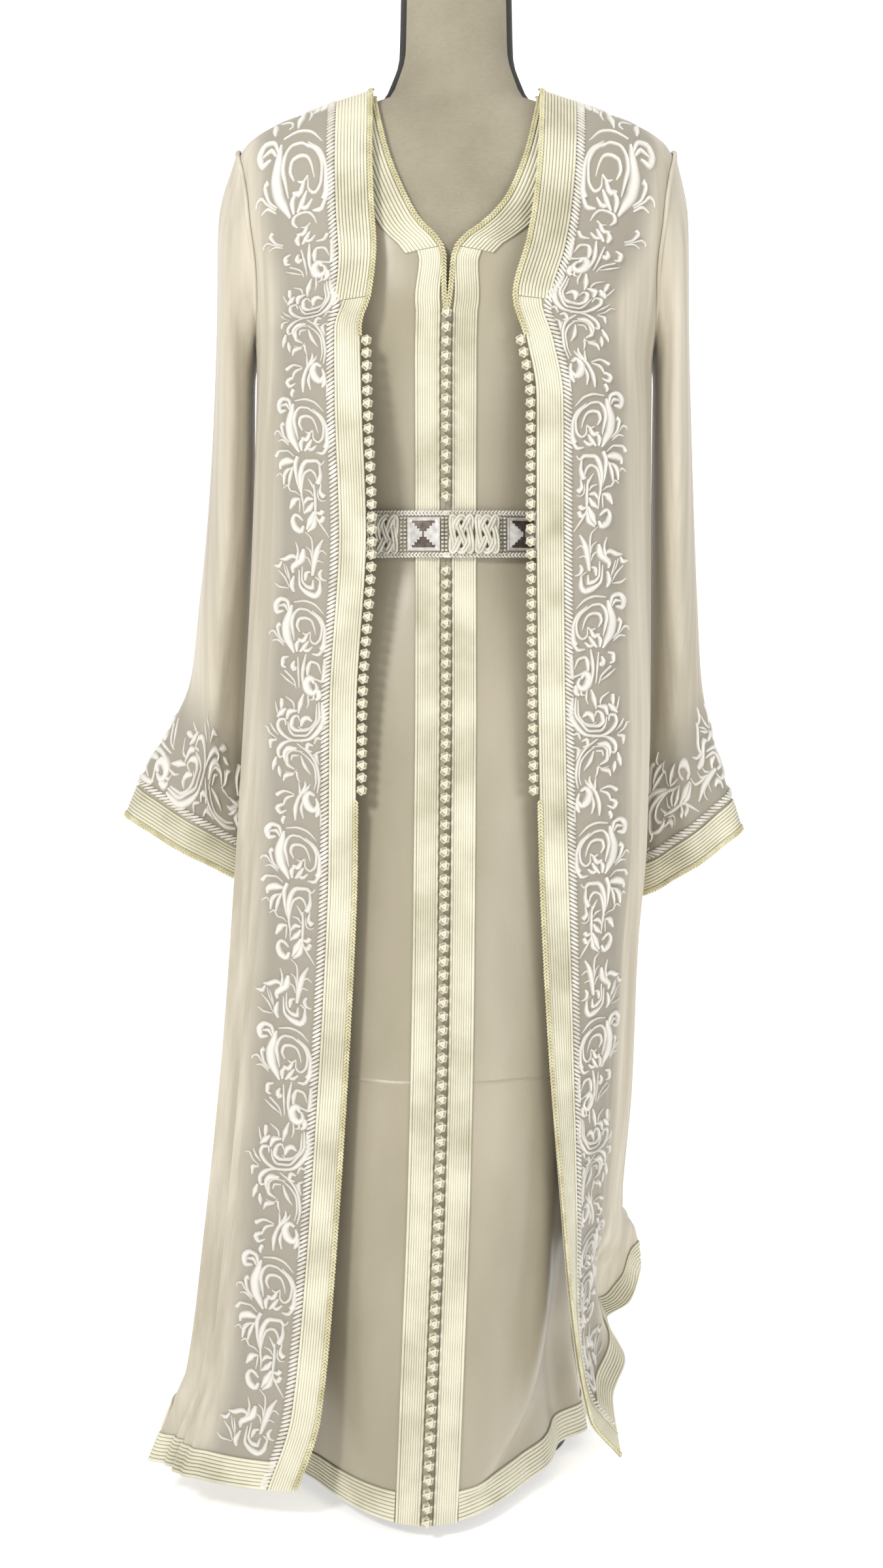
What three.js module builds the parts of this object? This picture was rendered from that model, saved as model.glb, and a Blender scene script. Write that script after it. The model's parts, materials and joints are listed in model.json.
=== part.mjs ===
// A two-layer kaftan dress with its belt, hung on a limbless dress form that stands on a round base.
// The under dress is a closed satin gown with a V neck, a buttoned front band and no sleeves.
// The over coat is sheer, open in front, with long sleeves, button rows and braid bands on every edge.
// Millimetres, +Z up, the front faces -Y, and the origin is the middle of the base's underside.
// "left" is the side of -X, seen from the front.
import * as THREE from "three";

// Cloth, seams and trims
const CLOTH = 1.2;
const SEAM = 0.3;
const BRAID = 1.2;
const RIB = 0.7;
// Half of a side seam's opening, in degrees of turn
const SEAM_TURN = 0.12;

// Under dress on the form: its rise over the shoulders, its ease round the body, and how much wider and
// squarer it lies than the form beyond a half width of SLACK_FROM
const UNDER_RISE = 2.6;
const UNDER_EASE = 2.4;
const SLACK_FROM = 120;
const SHOULDER_SLACK = 0.09;
const SHOULDER_SQUARENESS = 0.0012;
// Heights between which the under dress takes the form's own sections
const SHOULDER_FLOOR = 1340;
const SHOULDER_TOP = 1430;

// Band widths, and how many ribs each ribbed braid has
const NECK_BAND = 37;
const FRONT_BAND = 27;
const PLACKET_BAND = 25;
const HALF_BUTTON_LANE = 5.6;
const HEM_BAND = 30;
const RIBS = { underNeck: 6, underNeckBack: 4, coatNeck: 7, hem: 3, cuff: 3 };

// Ball buttons
const BUTTON_RADIUS = 5.2;
const BUTTON_PITCH = 12.2;
const STEM_RADIUS = 2.2;
const BUTTON_SIDES = 5;

// Belt: the strap lies over the bands, and each plaque and knot pad is seated on the strap
const BELT_Z = 975;
const BELT_HEIGHT = 44;
const BELT_STRAP = 2.4;
const BELT_CLEAR = 0.5;
const BELT_SEAT = CLOTH + SEAM + BRAID + RIB + BELT_CLEAR;
const BELT_UNITS = 8;
// Distance of the first plaque's middle from the front centre, along the strap
const FIRST_PLAQUE = -22;
const PLAQUE_SIDE = 33;
const PLAQUE_EDGE = 1.6;
const PLAQUE_RISE = 6;
const PLAQUE_TIP = 0.16;
const PLAQUE_SEAT = 1;
const KNOT_LENGTH = 54;
const KNOT_OVERHANG = 1;
const KNOT_SEAT = 1.4;
// Height of a knot pad across the belt, and its swell along the belt
const KNOT_CROWN = [
  { share: 0, rise: 1.2 },
  { share: 0.18, rise: 3.6 },
  { share: 0.5, rise: 5 },
  { share: 0.82, rise: 3.6 },
  { share: 1, rise: 1.2 },
];
const KNOT_SWELL = [0.45, 1, 0.7, 1, 0.45];

// Stand
const POLE_RADIUS = 14;
const POLE_SIDES = 16;
const HUB_TOP = 46;
const BASE_SIDES = 24;
const BASE_OUTLINE = [
  { radius: 0, height: 0 },
  { radius: 122, height: 0 },
  { radius: 122, height: 9 },
  { radius: 119, height: 12 },
  { radius: 36, height: 16 },
  { radius: 26, height: 24 },
  { radius: 20, height: HUB_TOP },
  { radius: 0, height: HUB_TOP },
];
const NECK_CAP_THICK = 14;
const NECK_CAP_TAPER = 1;
// Turn from the front centre at which the form's linen meets its black sides
const LINEN_TURN = 62;
const LINEN_TRIM = 2;

// Sections of the form: half width, depth in front and behind, and how boxy (1 is an ellipse)
const FORM_RINGS = [
  { z: 732, half: 158, front: 98, back: 104, box: 1 },
  { z: 770, half: 172, front: 108, back: 115, box: 1 },
  { z: 830, half: 174, front: 110, back: 118, box: 1 },
  { z: 900, half: 160, front: 103, back: 108, box: 1 },
  { z: 975, half: 135, front: 91, back: 93, box: 1 },
  { z: 1020, half: 130, front: 88, back: 87, box: 1 },
  { z: 1080, half: 140, front: 96, back: 89, box: 1 },
  { z: 1150, half: 157, front: 113, back: 95, box: 0.97 },
  { z: 1200, half: 166, front: 119, back: 99, box: 0.93 },
  { z: 1250, half: 171, front: 114, back: 100, box: 0.88 },
  { z: 1300, half: 175, front: 102, back: 100, box: 0.85 },
  { z: 1343, half: 180, front: 90, back: 96, box: 0.83 },
  { z: 1367, half: 175, front: 82, back: 89, box: 0.83 },
  { z: 1382, half: 161, front: 75, back: 82, box: 0.85 },
  { z: 1393, half: 149, front: 70, back: 77, box: 0.87 },
  { z: 1406, half: 126, front: 65, back: 71, box: 0.9 },
  { z: 1415, half: 99, front: 61, back: 68, box: 0.95 },
  { z: 1422, half: 77, front: 58, back: 65, box: 1 },
  { z: 1440, half: 67, front: 57, back: 62, box: 1 },
  { z: 1465, half: 59, front: 54, back: 57, box: 1 },
  { z: 1532, half: 57, front: 52, back: 54, box: 1 },
];

// Sections of the under dress below the shoulders. "point" sharpens the front into a ridge at the hem.
const UNDER_RINGS = [
  { z: 14, centre: -30, front: 272, left: 216, right: 140, side: -22, back: 172, point: 2.6, box: 1 },
  { z: 60, centre: -28, front: 266, left: 213, right: 134, side: -20, back: 170, point: 2.2, box: 1 },
  { z: 160, centre: -24, front: 248, left: 208, right: 132, side: -16, back: 166, point: 1.5, box: 1 },
  { z: 320, centre: -18, front: 218, left: 204, right: 144, side: -10, back: 160, point: 1.1, box: 1 },
  { z: 500, centre: -14, front: 186, left: 198, right: 166, side: -5, back: 151, point: 1, box: 1 },
  { z: 680, centre: -12, front: 152, left: 189, right: 176, side: 0, back: 140, point: 1, box: 1 },
  { z: 820, centre: -11, front: 127, left: 182, right: 181, side: 0, back: 127, point: 1, box: 1 },
  { z: 900, centre: -11, front: 111, left: 165, right: 165, side: 0, back: 114, point: 1, box: 1 },
  { z: 950, centre: -11, front: 100, left: 145, right: 145, side: 0, back: 102, point: 1, box: 1 },
  { z: 1000, centre: -11, front: 99, left: 144, right: 144, side: 0, back: 101, point: 1, box: 1 },
  { z: 1040, centre: -11, front: 104, left: 147, right: 147, side: 0, back: 97, point: 1, box: 1 },
  { z: 1090, centre: -11, front: 113, left: 157, right: 157, side: 0, back: 97, point: 1, box: 1 },
  { z: 1150, centre: -11, front: 122, left: 169, right: 169, side: 0, back: 101, point: 1, box: 0.97 },
  { z: 1200, centre: -10, front: 125, left: 174, right: 174, side: 0, back: 104, point: 1, box: 0.93 },
  { z: 1250, centre: -8, front: 119, left: 176, right: 176, side: 0, back: 104, point: 1, box: 0.88 },
  { z: 1300, centre: -4, front: 107, left: 181, right: 181, side: 0, back: 105, point: 1, box: 0.84 },
];

// Distance of the under dress's neck edge from its centre line, up to the shoulder ridge
const UNDER_NECK = [
  { z: 1196, x: 0.3 },
  { z: 1215, x: 2.6 },
  { z: 1250, x: 4.4 },
  { z: 1262, x: 10 },
  { z: 1285, x: 35 },
  { z: 1315, x: 54 },
  { z: 1360, x: 71 },
  { z: 1400, x: 80 },
  { z: 1423.5, x: 84 },
];
const UNDER_SLIT_Z = 1196;
const UNDER_RIDGE_Z = 1423.5;
const UNDER_TIP_Z = 1396;
const UNDER_HEM_Z = 14;
const UNDER_BAND_Z = UNDER_HEM_Z + HEM_BAND;
const UNDER_LEVELS = [1120, 1060, 1000, 950, 890, 800, 660, 500, 340, 200, 100, UNDER_BAND_Z, UNDER_HEM_Z];
// Height at which the neck edge starts to leave the slanting centre line, and how far up it has left
const SLANT_Z = 1262;
const SLANT_FADE = 60;

// Half opening of the under dress's armhole, as a turn from the side line in degrees
const UNDER_ARMHOLE = [
  { z: 1176, half: 0 },
  { z: 1186, half: 13 },
  { z: 1212, half: 26 },
  { z: 1256, half: 33 },
  { z: 1305, half: 34 },
  { z: 1352, half: 29 },
  { z: 1386, half: 15 },
  { z: UNDER_TIP_Z, half: 0 },
];

// Rows of cloth: a front row runs from the front or neck edge to the side or armhole edge, and a back row
// from the side to the centre back. Both list their end heights.
const UNDER_ROWS = [
  { edge: UNDER_RIDGE_Z, side: UNDER_TIP_Z },
  { edge: 1413, side: 1386 },
  { edge: 1390, side: 1352 },
  { edge: 1345, side: 1305 },
  { edge: 1300, side: 1256 },
  { edge: 1278, side: 1234 },
  { edge: 1258, side: 1212 },
  { edge: 1226, side: 1186 },
  { edge: UNDER_SLIT_Z, side: 1176 },
  ...UNDER_LEVELS.map(level),
];
const UNDER_BACK_ROWS = [
  { edge: 1404, side: UNDER_RIDGE_Z },
  { edge: 1374, side: 1413 },
  { edge: 1340, side: UNDER_TIP_Z },
  { edge: 1310, side: 1370 },
  { edge: 1275, side: 1305 },
  { edge: 1235, side: 1245 },
  { edge: 1205, side: 1205 },
  { edge: 1180, side: 1176 },
  ...UNDER_LEVELS.map(level),
];
const UNDER_MITRE_ROW = 6;
const UNDER_SLIT_ROW = 8;

// Sections of the coat. The front edges, side folds and back are separate short tables.
const COAT_DEPTH = [
  { z: 40, front: 262, back: 214, box: 1 },
  { z: 300, front: 225, back: 192, box: 1 },
  { z: 600, front: 180, back: 167, box: 1 },
  { z: 850, front: 152, back: 147, box: 1 },
  { z: 1000, front: 146, back: 128, box: 0.98 },
  { z: 1150, front: 147, back: 116, box: 0.93 },
  { z: 1200, front: 144, back: 113, box: 0.9 },
  { z: 1250, front: 134, back: 113, box: 0.87 },
  { z: 1300, front: 119, back: 112, box: 0.83 },
  { z: 1342, front: 105, back: 108, box: 0.8 },
  { z: 1370, front: 95, back: 100, box: 0.8 },
  { z: 1382, front: 88, back: 94, box: 0.82 },
  { z: 1391.5, front: 83, back: 89, box: 0.84 },
  { z: 1405, front: 76, back: 86, box: 0.83 },
  { z: 1416, front: 71, back: 81, box: 0.85 },
  { z: 1425, front: 66.5, back: 77, box: 0.9 },
  { z: 1431.5, front: 63, back: 74, box: 0.95 },
];
const COAT_EDGE = {
  left: [
    { z: 40, x: 160, y: -238 },
    { z: 113, x: 136, y: -236 },
    { z: 252, x: 122, y: -220 },
    { z: 370, x: 114, y: -202 },
    { z: 510, x: 106, y: -182 },
    { z: 640, x: 101, y: -160 },
    { z: 797, x: 100, y: -145 },
    { z: 978, x: 90, y: -137 },
    { z: 1110, x: 94, y: -140 },
    { z: 1180, x: 95, y: -138 },
    { z: 1207, x: 86, y: -134 },
    { z: 1255, x: 81, y: -123 },
    { z: 1300, x: 84, y: -108 },
    { z: 1360, x: 86, y: -88 },
    { z: 1431.5, x: 86, y: 0 },
  ],
  right: [
    { z: 40, x: 165, y: -180 },
    { z: 84, x: 132, y: -186 },
    { z: 207, x: 112, y: -186 },
    { z: 300, x: 104, y: -182 },
    { z: 460, x: 92, y: -170 },
    { z: 690, x: 83, y: -152 },
    { z: 978, x: 79, y: -137 },
    { z: 1110, x: 78, y: -140 },
    { z: 1165, x: 68, y: -139 },
    { z: 1207, x: 56, y: -136 },
    { z: 1262, x: 70, y: -123 },
    { z: 1300, x: 77, y: -108 },
    { z: 1360, x: 83, y: -88 },
    { z: 1431.5, x: 86, y: 0 },
  ],
};
const COAT_SIDE = {
  left: [
    { z: 40, x: 308, y: -150, flat: 0 },
    { z: 77, x: 293, y: -142, flat: 0 },
    { z: 129, x: 271, y: -132, flat: 0 },
    { z: 261, x: 255, y: -110, flat: 0 },
    { z: 476, x: 236, y: -88, flat: 0 },
    { z: 620, x: 228, y: -72, flat: 0 },
    { z: 800, x: 219, y: -45, flat: 0 },
    { z: 960, x: 211, y: -34, flat: 0 },
    { z: 1145, x: 206, y: -15, flat: 0 },
  ],
  right: [
    { z: 40, x: 174, y: -62, flat: 1 },
    { z: 261, x: 175, y: -55, flat: 0.9 },
    { z: 395, x: 186, y: -52, flat: 0.6 },
    { z: 557, x: 191, y: -50, flat: 0.2 },
    { z: 665, x: 197, y: -48, flat: 0 },
    { z: 800, x: 201, y: -42, flat: 0 },
    { z: 960, x: 201, y: -32, flat: 0 },
    { z: 1145, x: 202, y: -15, flat: 0 },
  ],
};
// The coat's shoulder, the same on both sides: its half width at each height
const COAT_SHOULDER = [
  { z: 1200, x: 210, y: -6, flat: 0 },
  { z: 1260, x: 220, y: 0, flat: 0 },
  { z: 1310, x: 228, y: 0, flat: 0 },
  { z: 1345, x: 229, y: 0, flat: 0 },
  { z: 1370, x: 222, y: 0, flat: 0 },
  { z: 1382, x: 212, y: 0, flat: 0 },
  { z: 1391.5, x: 197, y: 0, flat: 0 },
  { z: 1405, x: 163, y: 0, flat: 0 },
  { z: 1416, x: 131, y: 0, flat: 0 },
  { z: 1425, x: 104, y: 0, flat: 0 },
  { z: 1431.5, x: 86, y: 0, flat: 0 },
];
const COAT_RIDGE_Z = 1431.5;
const COAT_TIP_Z = 1370;
const COAT_HEM_Z = 40;
const COAT_ARMHOLE = [
  { z: 1170, half: 0 },
  { z: 1184, half: 13 },
  { z: 1214, half: 21 },
  { z: 1258, half: 25 },
  { z: 1302, half: 25 },
  { z: 1342, half: 21 },
  { z: 1361, half: 12 },
  { z: COAT_TIP_Z, half: 0 },
];
const COAT_BAND_Z = COAT_HEM_Z + HEM_BAND;
const COAT_LEVELS = [1110, 1040, 950, 830, 690, 540, 400, 290, 200, 130, COAT_BAND_Z, COAT_HEM_Z];
const COAT_ROWS = [
  { edge: COAT_RIDGE_Z, side: COAT_TIP_Z },
  { edge: 1421, side: 1361 },
  { edge: 1398, side: 1342 },
  { edge: 1352, side: 1302 },
  { edge: 1302, side: 1258 },
  { edge: 1252, side: 1214 },
  { edge: 1207, side: 1184 },
  { edge: 1180, side: 1170 },
  ...COAT_LEVELS.map(level),
];
const COAT_BACK_ROWS = [
  { edge: 1412, side: COAT_RIDGE_Z },
  { edge: 1375, side: 1419 },
  { edge: 1340, side: 1400 },
  { edge: 1305, side: COAT_TIP_Z },
  { edge: 1280, side: 1335 },
  { edge: 1250, side: 1270 },
  { edge: 1215, side: 1214 },
  { edge: 1180, side: 1170 },
  ...COAT_LEVELS.map(level),
];
const COAT_MITRE_ROW = 6;
// Heights between which the coat's front edges carry ball buttons
const COAT_BUTTONS = { top: 1164, bottom: 716 };

// How the coat's hem departs from its level section: "turn" runs from the front corner, 0, to the centre back,
// 180. The shift fades out at HEM_SHIFT_TOP.
const COAT_HEM_SHIFT = {
  left: [
    { turn: 0, x: 0, y: 0, z: -6 },
    { turn: 45, x: 0, y: 0, z: -2 },
    { turn: 90, x: 0, y: 0, z: 0 },
    { turn: 180, x: 0, y: 0, z: 10 },
  ],
  right: [
    { turn: 0, x: 0, y: 0, z: 4 },
    { turn: 15, x: -7, y: 24, z: 46 },
    { turn: 30, x: 7, y: 42, z: 74 },
    { turn: 45, x: -6, y: 48, z: 92 },
    { turn: 58, x: -12, y: 54, z: 104 },
    { turn: 71, x: 14, y: 52, z: 118 },
    { turn: 84, x: 24, y: 44, z: 148 },
    { turn: 100, x: 14, y: 26, z: 156 },
    { turn: 130, x: 0, y: 0, z: 80 },
    { turn: 180, x: 0, y: 0, z: 10 },
  ],
};
const HEM_SHIFT_TOP = 300;

// Sleeves: the outer and inner folds seen from the front, the middle's y and the half depth.
// The last two rows are the ends of the cuff band.
const SLEEVES = {
  left: [
    { outX: 246, outZ: 1300, inX: 213, inZ: 1128, y: 4, half: 60 },
    { outX: 249, outZ: 1190, inX: 214, inZ: 1060, y: 8, half: 68 },
    { outX: 254, outZ: 1090, inX: 215, inZ: 1000, y: 12, half: 68 },
    { outX: 262, outZ: 990, inX: 219, inZ: 925, y: 16, half: 62 },
    { outX: 272, outZ: 905, inX: 223, inZ: 850, y: 20, half: 54 },
    { outX: 283, outZ: 823, inX: 227, inZ: 770, y: 24, half: 46 },
    { outX: 301, outZ: 780, inX: 229, inZ: 716, y: 26, half: 41 },
    { outX: 333, outZ: 727, inX: 229, inZ: 654, y: 29, half: 35 },
    { outX: 343, outZ: 704, inX: 227, inZ: 630, y: 30, half: 32 },
    { outX: 354, outZ: 677, inX: 225, inZ: 604, y: 30, half: 30 },
  ],
  right: [
    { outX: 240, outZ: 1300, inX: 209, inZ: 1128, y: 4, half: 60 },
    { outX: 242, outZ: 1190, inX: 209, inZ: 1060, y: 8, half: 68 },
    { outX: 246, outZ: 1090, inX: 209, inZ: 1000, y: 12, half: 68 },
    { outX: 251, outZ: 990, inX: 209, inZ: 925, y: 16, half: 62 },
    { outX: 256, outZ: 905, inX: 209, inZ: 850, y: 20, half: 54 },
    { outX: 262, outZ: 823, inX: 208, inZ: 762, y: 24, half: 46 },
    { outX: 270, outZ: 780, inX: 207, inZ: 708, y: 26, half: 41 },
    { outX: 289, outZ: 716, inX: 206, inZ: 642, y: 29, half: 36 },
    { outX: 298, outZ: 690, inX: 205, inZ: 617, y: 30, half: 33 },
    { outX: 307, outZ: 662, inX: 204, inZ: 590, y: 30, half: 31 },
  ],
};
const SLEEVE_SIDES = 16;
// The sleeve's first ring: its share of the armhole's height, its lap over the edge in degrees, and its ease
const ARMHOLE_FIT = 0.998;
const ARMHOLE_LAP = 0.6;
const ARMHOLE_EASE = 1.7;

// Where the coat leaves the bust, and the height over which it comes to hang free
const BUST_Z = 1200;
const BUST_FALL = 140;
// The share of a row left open where two bands meet, and the gap beside a band down the edge
const MITRE_GAP = 0.02;
const BAND_GAP = 1;

// Small steps in turn and height that give a layer's normal
const TURN_STEP = 0.4;
const HEIGHT_STEP = 1.5;
// Small step along the belt that gives its outward direction
const AWAY_STEP = 6;

// Soft upright folds: how many waves lie between two turns, and how deep they are at the hem
const FOLDS = {
  coat: [
    { from: 42, to: 95, waves: 2, depth: 6, top: 1120 },
    { from: 95, to: 180, waves: 2.5, depth: 9, top: 1120 },
  ],
  under: [
    { from: 35, to: 95, waves: 2, depth: 7, top: 930 },
    { from: 95, to: 180, waves: 2.5, depth: 9, top: 930 },
  ],
  sleeve: { waves: 5, depth: 3 },
};

const FORM_SIDES = 20;
const SIDES = ["left", "right"];
const SIDE_SIGN = { left: -1, right: 1 };
const DEGREE = Math.PI / 180;

const COLOURS = {
  satin: { color: 0xcfc6b4, roughness: 0.38 },
  chiffon: { color: 0xd9d0bf, roughness: 0.7 },
  braid: { color: 0xe6e0c4, roughness: 0.6 },
  button: { color: 0xe2dabd, roughness: 0.65 },
  linen: { color: 0xc9bea2, roughness: 0.9 },
  black: { color: 0x121314, roughness: 0.85 },
  silver: { color: 0xd8d4cc, roughness: 0.3, metalness: 0.8 },
  belt: { color: 0xc8c2ac, roughness: 0.6 },
  metal: { color: 0x1b1b1d, roughness: 0.4, metalness: 0.6 },
};

const takchita = new THREE.Group();

function level(z) {
  return { edge: z, side: z };
}

function lerp(a, b, t) {
  return a + (b - a) * t;
}

function smoothstep(t) {
  const k = Math.min(1, Math.max(0, t));
  return k * k * (3 - 2 * k);
}

// A smooth curve through a table's rows. It never overshoots them.
function profile(rows, key, along = "z") {
  const sorted = [...rows].sort((a, b) => a[along] - b[along]);
  const x = sorted.map((row) => row[along]);
  const y = sorted.map((row) => row[key]);
  const last = x.length - 1;
  const slope = x.slice(1).map((_, i) => (y[i + 1] - y[i]) / (x[i + 1] - x[i]));
  const tangent = y.map((_, i) => {
    if (i === 0 || i === last) return slope[Math.min(i, last - 1)];
    return slope[i - 1] * slope[i] <= 0 ? 0 : (2 * slope[i - 1] * slope[i]) / (slope[i - 1] + slope[i]);
  });
  return (at) => {
    const t = Math.min(x[last], Math.max(x[0], at));
    let i = 0;
    while (i < last - 1 && t > x[i + 1]) i += 1;
    const width = x[i + 1] - x[i];
    const k = (t - x[i]) / width;
    return (
      y[i] * (1 + 2 * k) * (1 - k) ** 2 +
      tangent[i] * width * k * (1 - k) ** 2 +
      y[i + 1] * k * k * (3 - 2 * k) +
      tangent[i + 1] * width * k * k * (k - 1)
    );
  };
}

function rowsOf(rows, names, along = "z") {
  return Object.fromEntries(names.map((name) => [name, profile(rows, name, along)]));
}

// Depth of the soft folds at a turn and height
function foldDepth(folds, turn, z, floor) {
  const fold = folds.find((f) => turn >= f.from && turn <= f.to);
  if (!fold) return 0;
  const across = (turn - fold.from) / (fold.to - fold.from);
  const fade = Math.sin(Math.PI * across) ** 0.5;
  const down = smoothstep((fold.top - z) / (fold.top - floor));
  return fold.depth * down * fade * Math.sin(2 * Math.PI * fold.waves * across);
}

// One quarter of a section: an arc from the centre or edge point to the side point
function quarter(from, side, turn, box, point) {
  const x = Math.sin(turn) ** box;
  const y = Math.max(0, Math.cos(turn)) ** (box * point);
  return [from[0] + (side[0] - from[0]) * x, side[1] + (from[1] - side[1]) * y];
}

const form = rowsOf(FORM_RINGS, ["half", "front", "back", "box"]);

function formPoint(turn, z) {
  const side = Math.sign(turn) || 1;
  const size = Math.abs(turn);
  const depth = size <= 90 ? [0, -form.front(z)] : [0, form.back(z)];
  const within = size <= 90 ? size : 180 - size;
  const [x, y] = quarter(depth, [form.half(z), 0], within * DEGREE, form.box(z), 1);
  return new THREE.Vector3(side * x, y, z);
}

// Moves a section point out along its own radius by the depth of the folds. "calm" is the share taken off.
function folded(at, folds, turn, z, floor, sideY, calm = 0) {
  const radial = new THREE.Vector2(at[0], at[1] - sideY).normalize();
  const depth = foldDepth(folds, turn, z, floor) * (1 - calm);
  return new THREE.Vector3(at[0] + radial.x * depth, at[1] + radial.y * depth, z);
}

// The turn at which a section of the given half width reaches a distance from its middle
function turnAt(share, box) {
  return Math.asin(Math.min(1, share) ** (1 / box)) / DEGREE;
}

// How far a form ring reaches past the part of the shoulder that the cloth lies close on
function outboard(ring) {
  return Math.max(0, ring.half - SLACK_FROM);
}

// The under dress follows the form over the shoulders and its own sections below
const underSections = rowsOf(
  [
    ...UNDER_RINGS,
    ...FORM_RINGS.filter((ring) => ring.z > SHOULDER_FLOOR && ring.z < SHOULDER_TOP).map((ring) => ({
      z: ring.z + UNDER_RISE,
      centre: 0,
      front: ring.front + UNDER_EASE,
      left: ring.half + UNDER_EASE + SHOULDER_SLACK * outboard(ring),
      right: ring.half + UNDER_EASE + SHOULDER_SLACK * outboard(ring),
      side: 0,
      back: ring.back + UNDER_EASE,
      point: 1,
      box: ring.box - SHOULDER_SQUARENESS * outboard(ring),
    })),
  ],
  ["centre", "front", "left", "right", "side", "back", "point", "box"],
);
const underNeck = profile(UNDER_NECK, "x");
const under = {
  ridge: UNDER_RIDGE_Z,
  hem: UNDER_HEM_Z,
  tip: UNDER_TIP_Z,
  underarm: UNDER_ARMHOLE[0].z,
  armhole: profile(UNDER_ARMHOLE, "half"),
  rows: UNDER_ROWS,
  backRows: UNDER_BACK_ROWS,
  columns: 8,
  backColumns: 6,

  point(side, turn, z) {
    const sections = underSections;
    const sideAt = [SIDE_SIGN[side] * sections[side](z), sections.side(z)];
    const front = [sections.centre(z), -sections.front(z)];
    const at =
      turn <= 90
        ? quarter(front, sideAt, turn * DEGREE, sections.box(z), sections.point(z))
        : quarter([0, sections.back(z)], sideAt, (180 - turn) * DEGREE, sections.box(z), 1);
    return folded(at, FOLDS.under, turn, z, UNDER_HEM_Z, sections.side(z));
  },

  // The slit and the button line lie on the slanting centre line, and the neck edge leaves it for the ridge
  edgeTurn(side, z) {
    const sign = SIDE_SIGN[side];
    const half = sign * underSections[side](z) - underSections.centre(z);
    const open = z > UNDER_SLIT_Z ? underNeck(z) : SEAM / 2;
    const fromCentre = lerp(0, underSections.centre(z), smoothstep((z - SLANT_Z) / SLANT_FADE));
    return turnAt((sign * open - fromCentre) / half, underSections.box(z));
  },
};

// The coat's section follows the body above the bust and hangs between its edge and side fold below
const coatSections = rowsOf(COAT_DEPTH, ["front", "back", "box"]);
const coatSides = Object.fromEntries(
  SIDES.map((side) => [
    side,
    {
      edge: rowsOf(COAT_EDGE[side], ["x", "y"]),
      fold: rowsOf([...COAT_SIDE[side], ...COAT_SHOULDER], ["x", "y", "flat"]),
      shift: rowsOf(COAT_HEM_SHIFT[side], ["x", "y", "z"], "turn"),
    },
  ]),
);
const coat = {
  ridge: COAT_RIDGE_Z,
  hem: COAT_HEM_Z,
  tip: COAT_TIP_Z,
  underarm: COAT_ARMHOLE[0].z,
  armhole: profile(COAT_ARMHOLE, "half"),
  rows: COAT_ROWS,
  backRows: COAT_BACK_ROWS,
  columns: 12,
  backColumns: 7,

  edgeTurn(side, z) {
    const { edge, fold } = coatSides[side];
    return turnAt(edge.x(z) / fold.x(z), coatSections.box(z));
  },

  point(side, turn, z) {
    const sign = SIDE_SIGN[side];
    const { edge, fold, shift } = coatSides[side];
    const sideAt = [sign * fold.x(z), fold.y(z)];
    const box = coatSections.box(z);
    let at = quarter([0, coatSections.back(z)], sideAt, (180 - turn) * DEGREE, box, 1);
    let hemTurn = turn;
    if (turn <= 90) {
      const edgeTurn = coat.edgeTurn(side, z);
      const share = Math.max(0, (turn - edgeTurn) / Math.max(1e-6, 90 - edgeTurn));
      const worn = quarter([0, -coatSections.front(z)], sideAt, turn * DEGREE, box, 1);
      const edgeAt = [sign * edge.x(z), edge.y(z)];
      const arc = quarter(edgeAt, sideAt, share * 90 * DEGREE, 1, 1);
      const flat = fold.flat(z);
      const hung = arc.map((value, i) => lerp(value, lerp(edgeAt[i], sideAt[i], share), flat));
      const free = smoothstep((BUST_Z - z) / BUST_FALL);
      at = worn.map((value, i) => lerp(value, hung[i], free));
      hemTurn = share * 90;
    }
    const calm = turn <= 90 ? fold.flat(z) : 0;
    const point = folded(at, FOLDS.coat, hemTurn, z, COAT_HEM_Z, fold.y(z), calm);
    const drop = smoothstep((HEM_SHIFT_TOP - z) / (HEM_SHIFT_TOP - COAT_HEM_Z));
    const move = new THREE.Vector3(sign * shift.x(hemTurn), shift.y(hemTurn), shift.z(hemTurn));
    return point.addScaledVector(move, drop);
  },
};

// The outward normal of a layer
function outward(layer, side, turn, z) {
  const low = Math.max(0.01, turn - TURN_STEP);
  const high = Math.min(179.99, turn + TURN_STEP);
  const top = Math.min(layer.ridge, z + HEIGHT_STEP);
  const foot = Math.max(layer.hem, z - HEIGHT_STEP);
  const turnStep = layer.point(side, high, z).sub(layer.point(side, low, z));
  const heightStep = layer.point(side, turn, top).sub(layer.point(side, turn, foot));
  return turnStep.cross(heightStep).multiplyScalar(SIDE_SIGN[side]).normalize();
}

// The turn of the side line: the ridge at the shoulder tip, a little behind it from the underarm down
function sideTurn(layer, z, face) {
  const line = lerp(95, 90, smoothstep((z - layer.underarm) / (layer.tip - layer.underarm)));
  const opening = z > layer.underarm && z < layer.tip ? layer.armhole(z) : 0;
  return line + face * (opening + SEAM_TURN);
}

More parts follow.
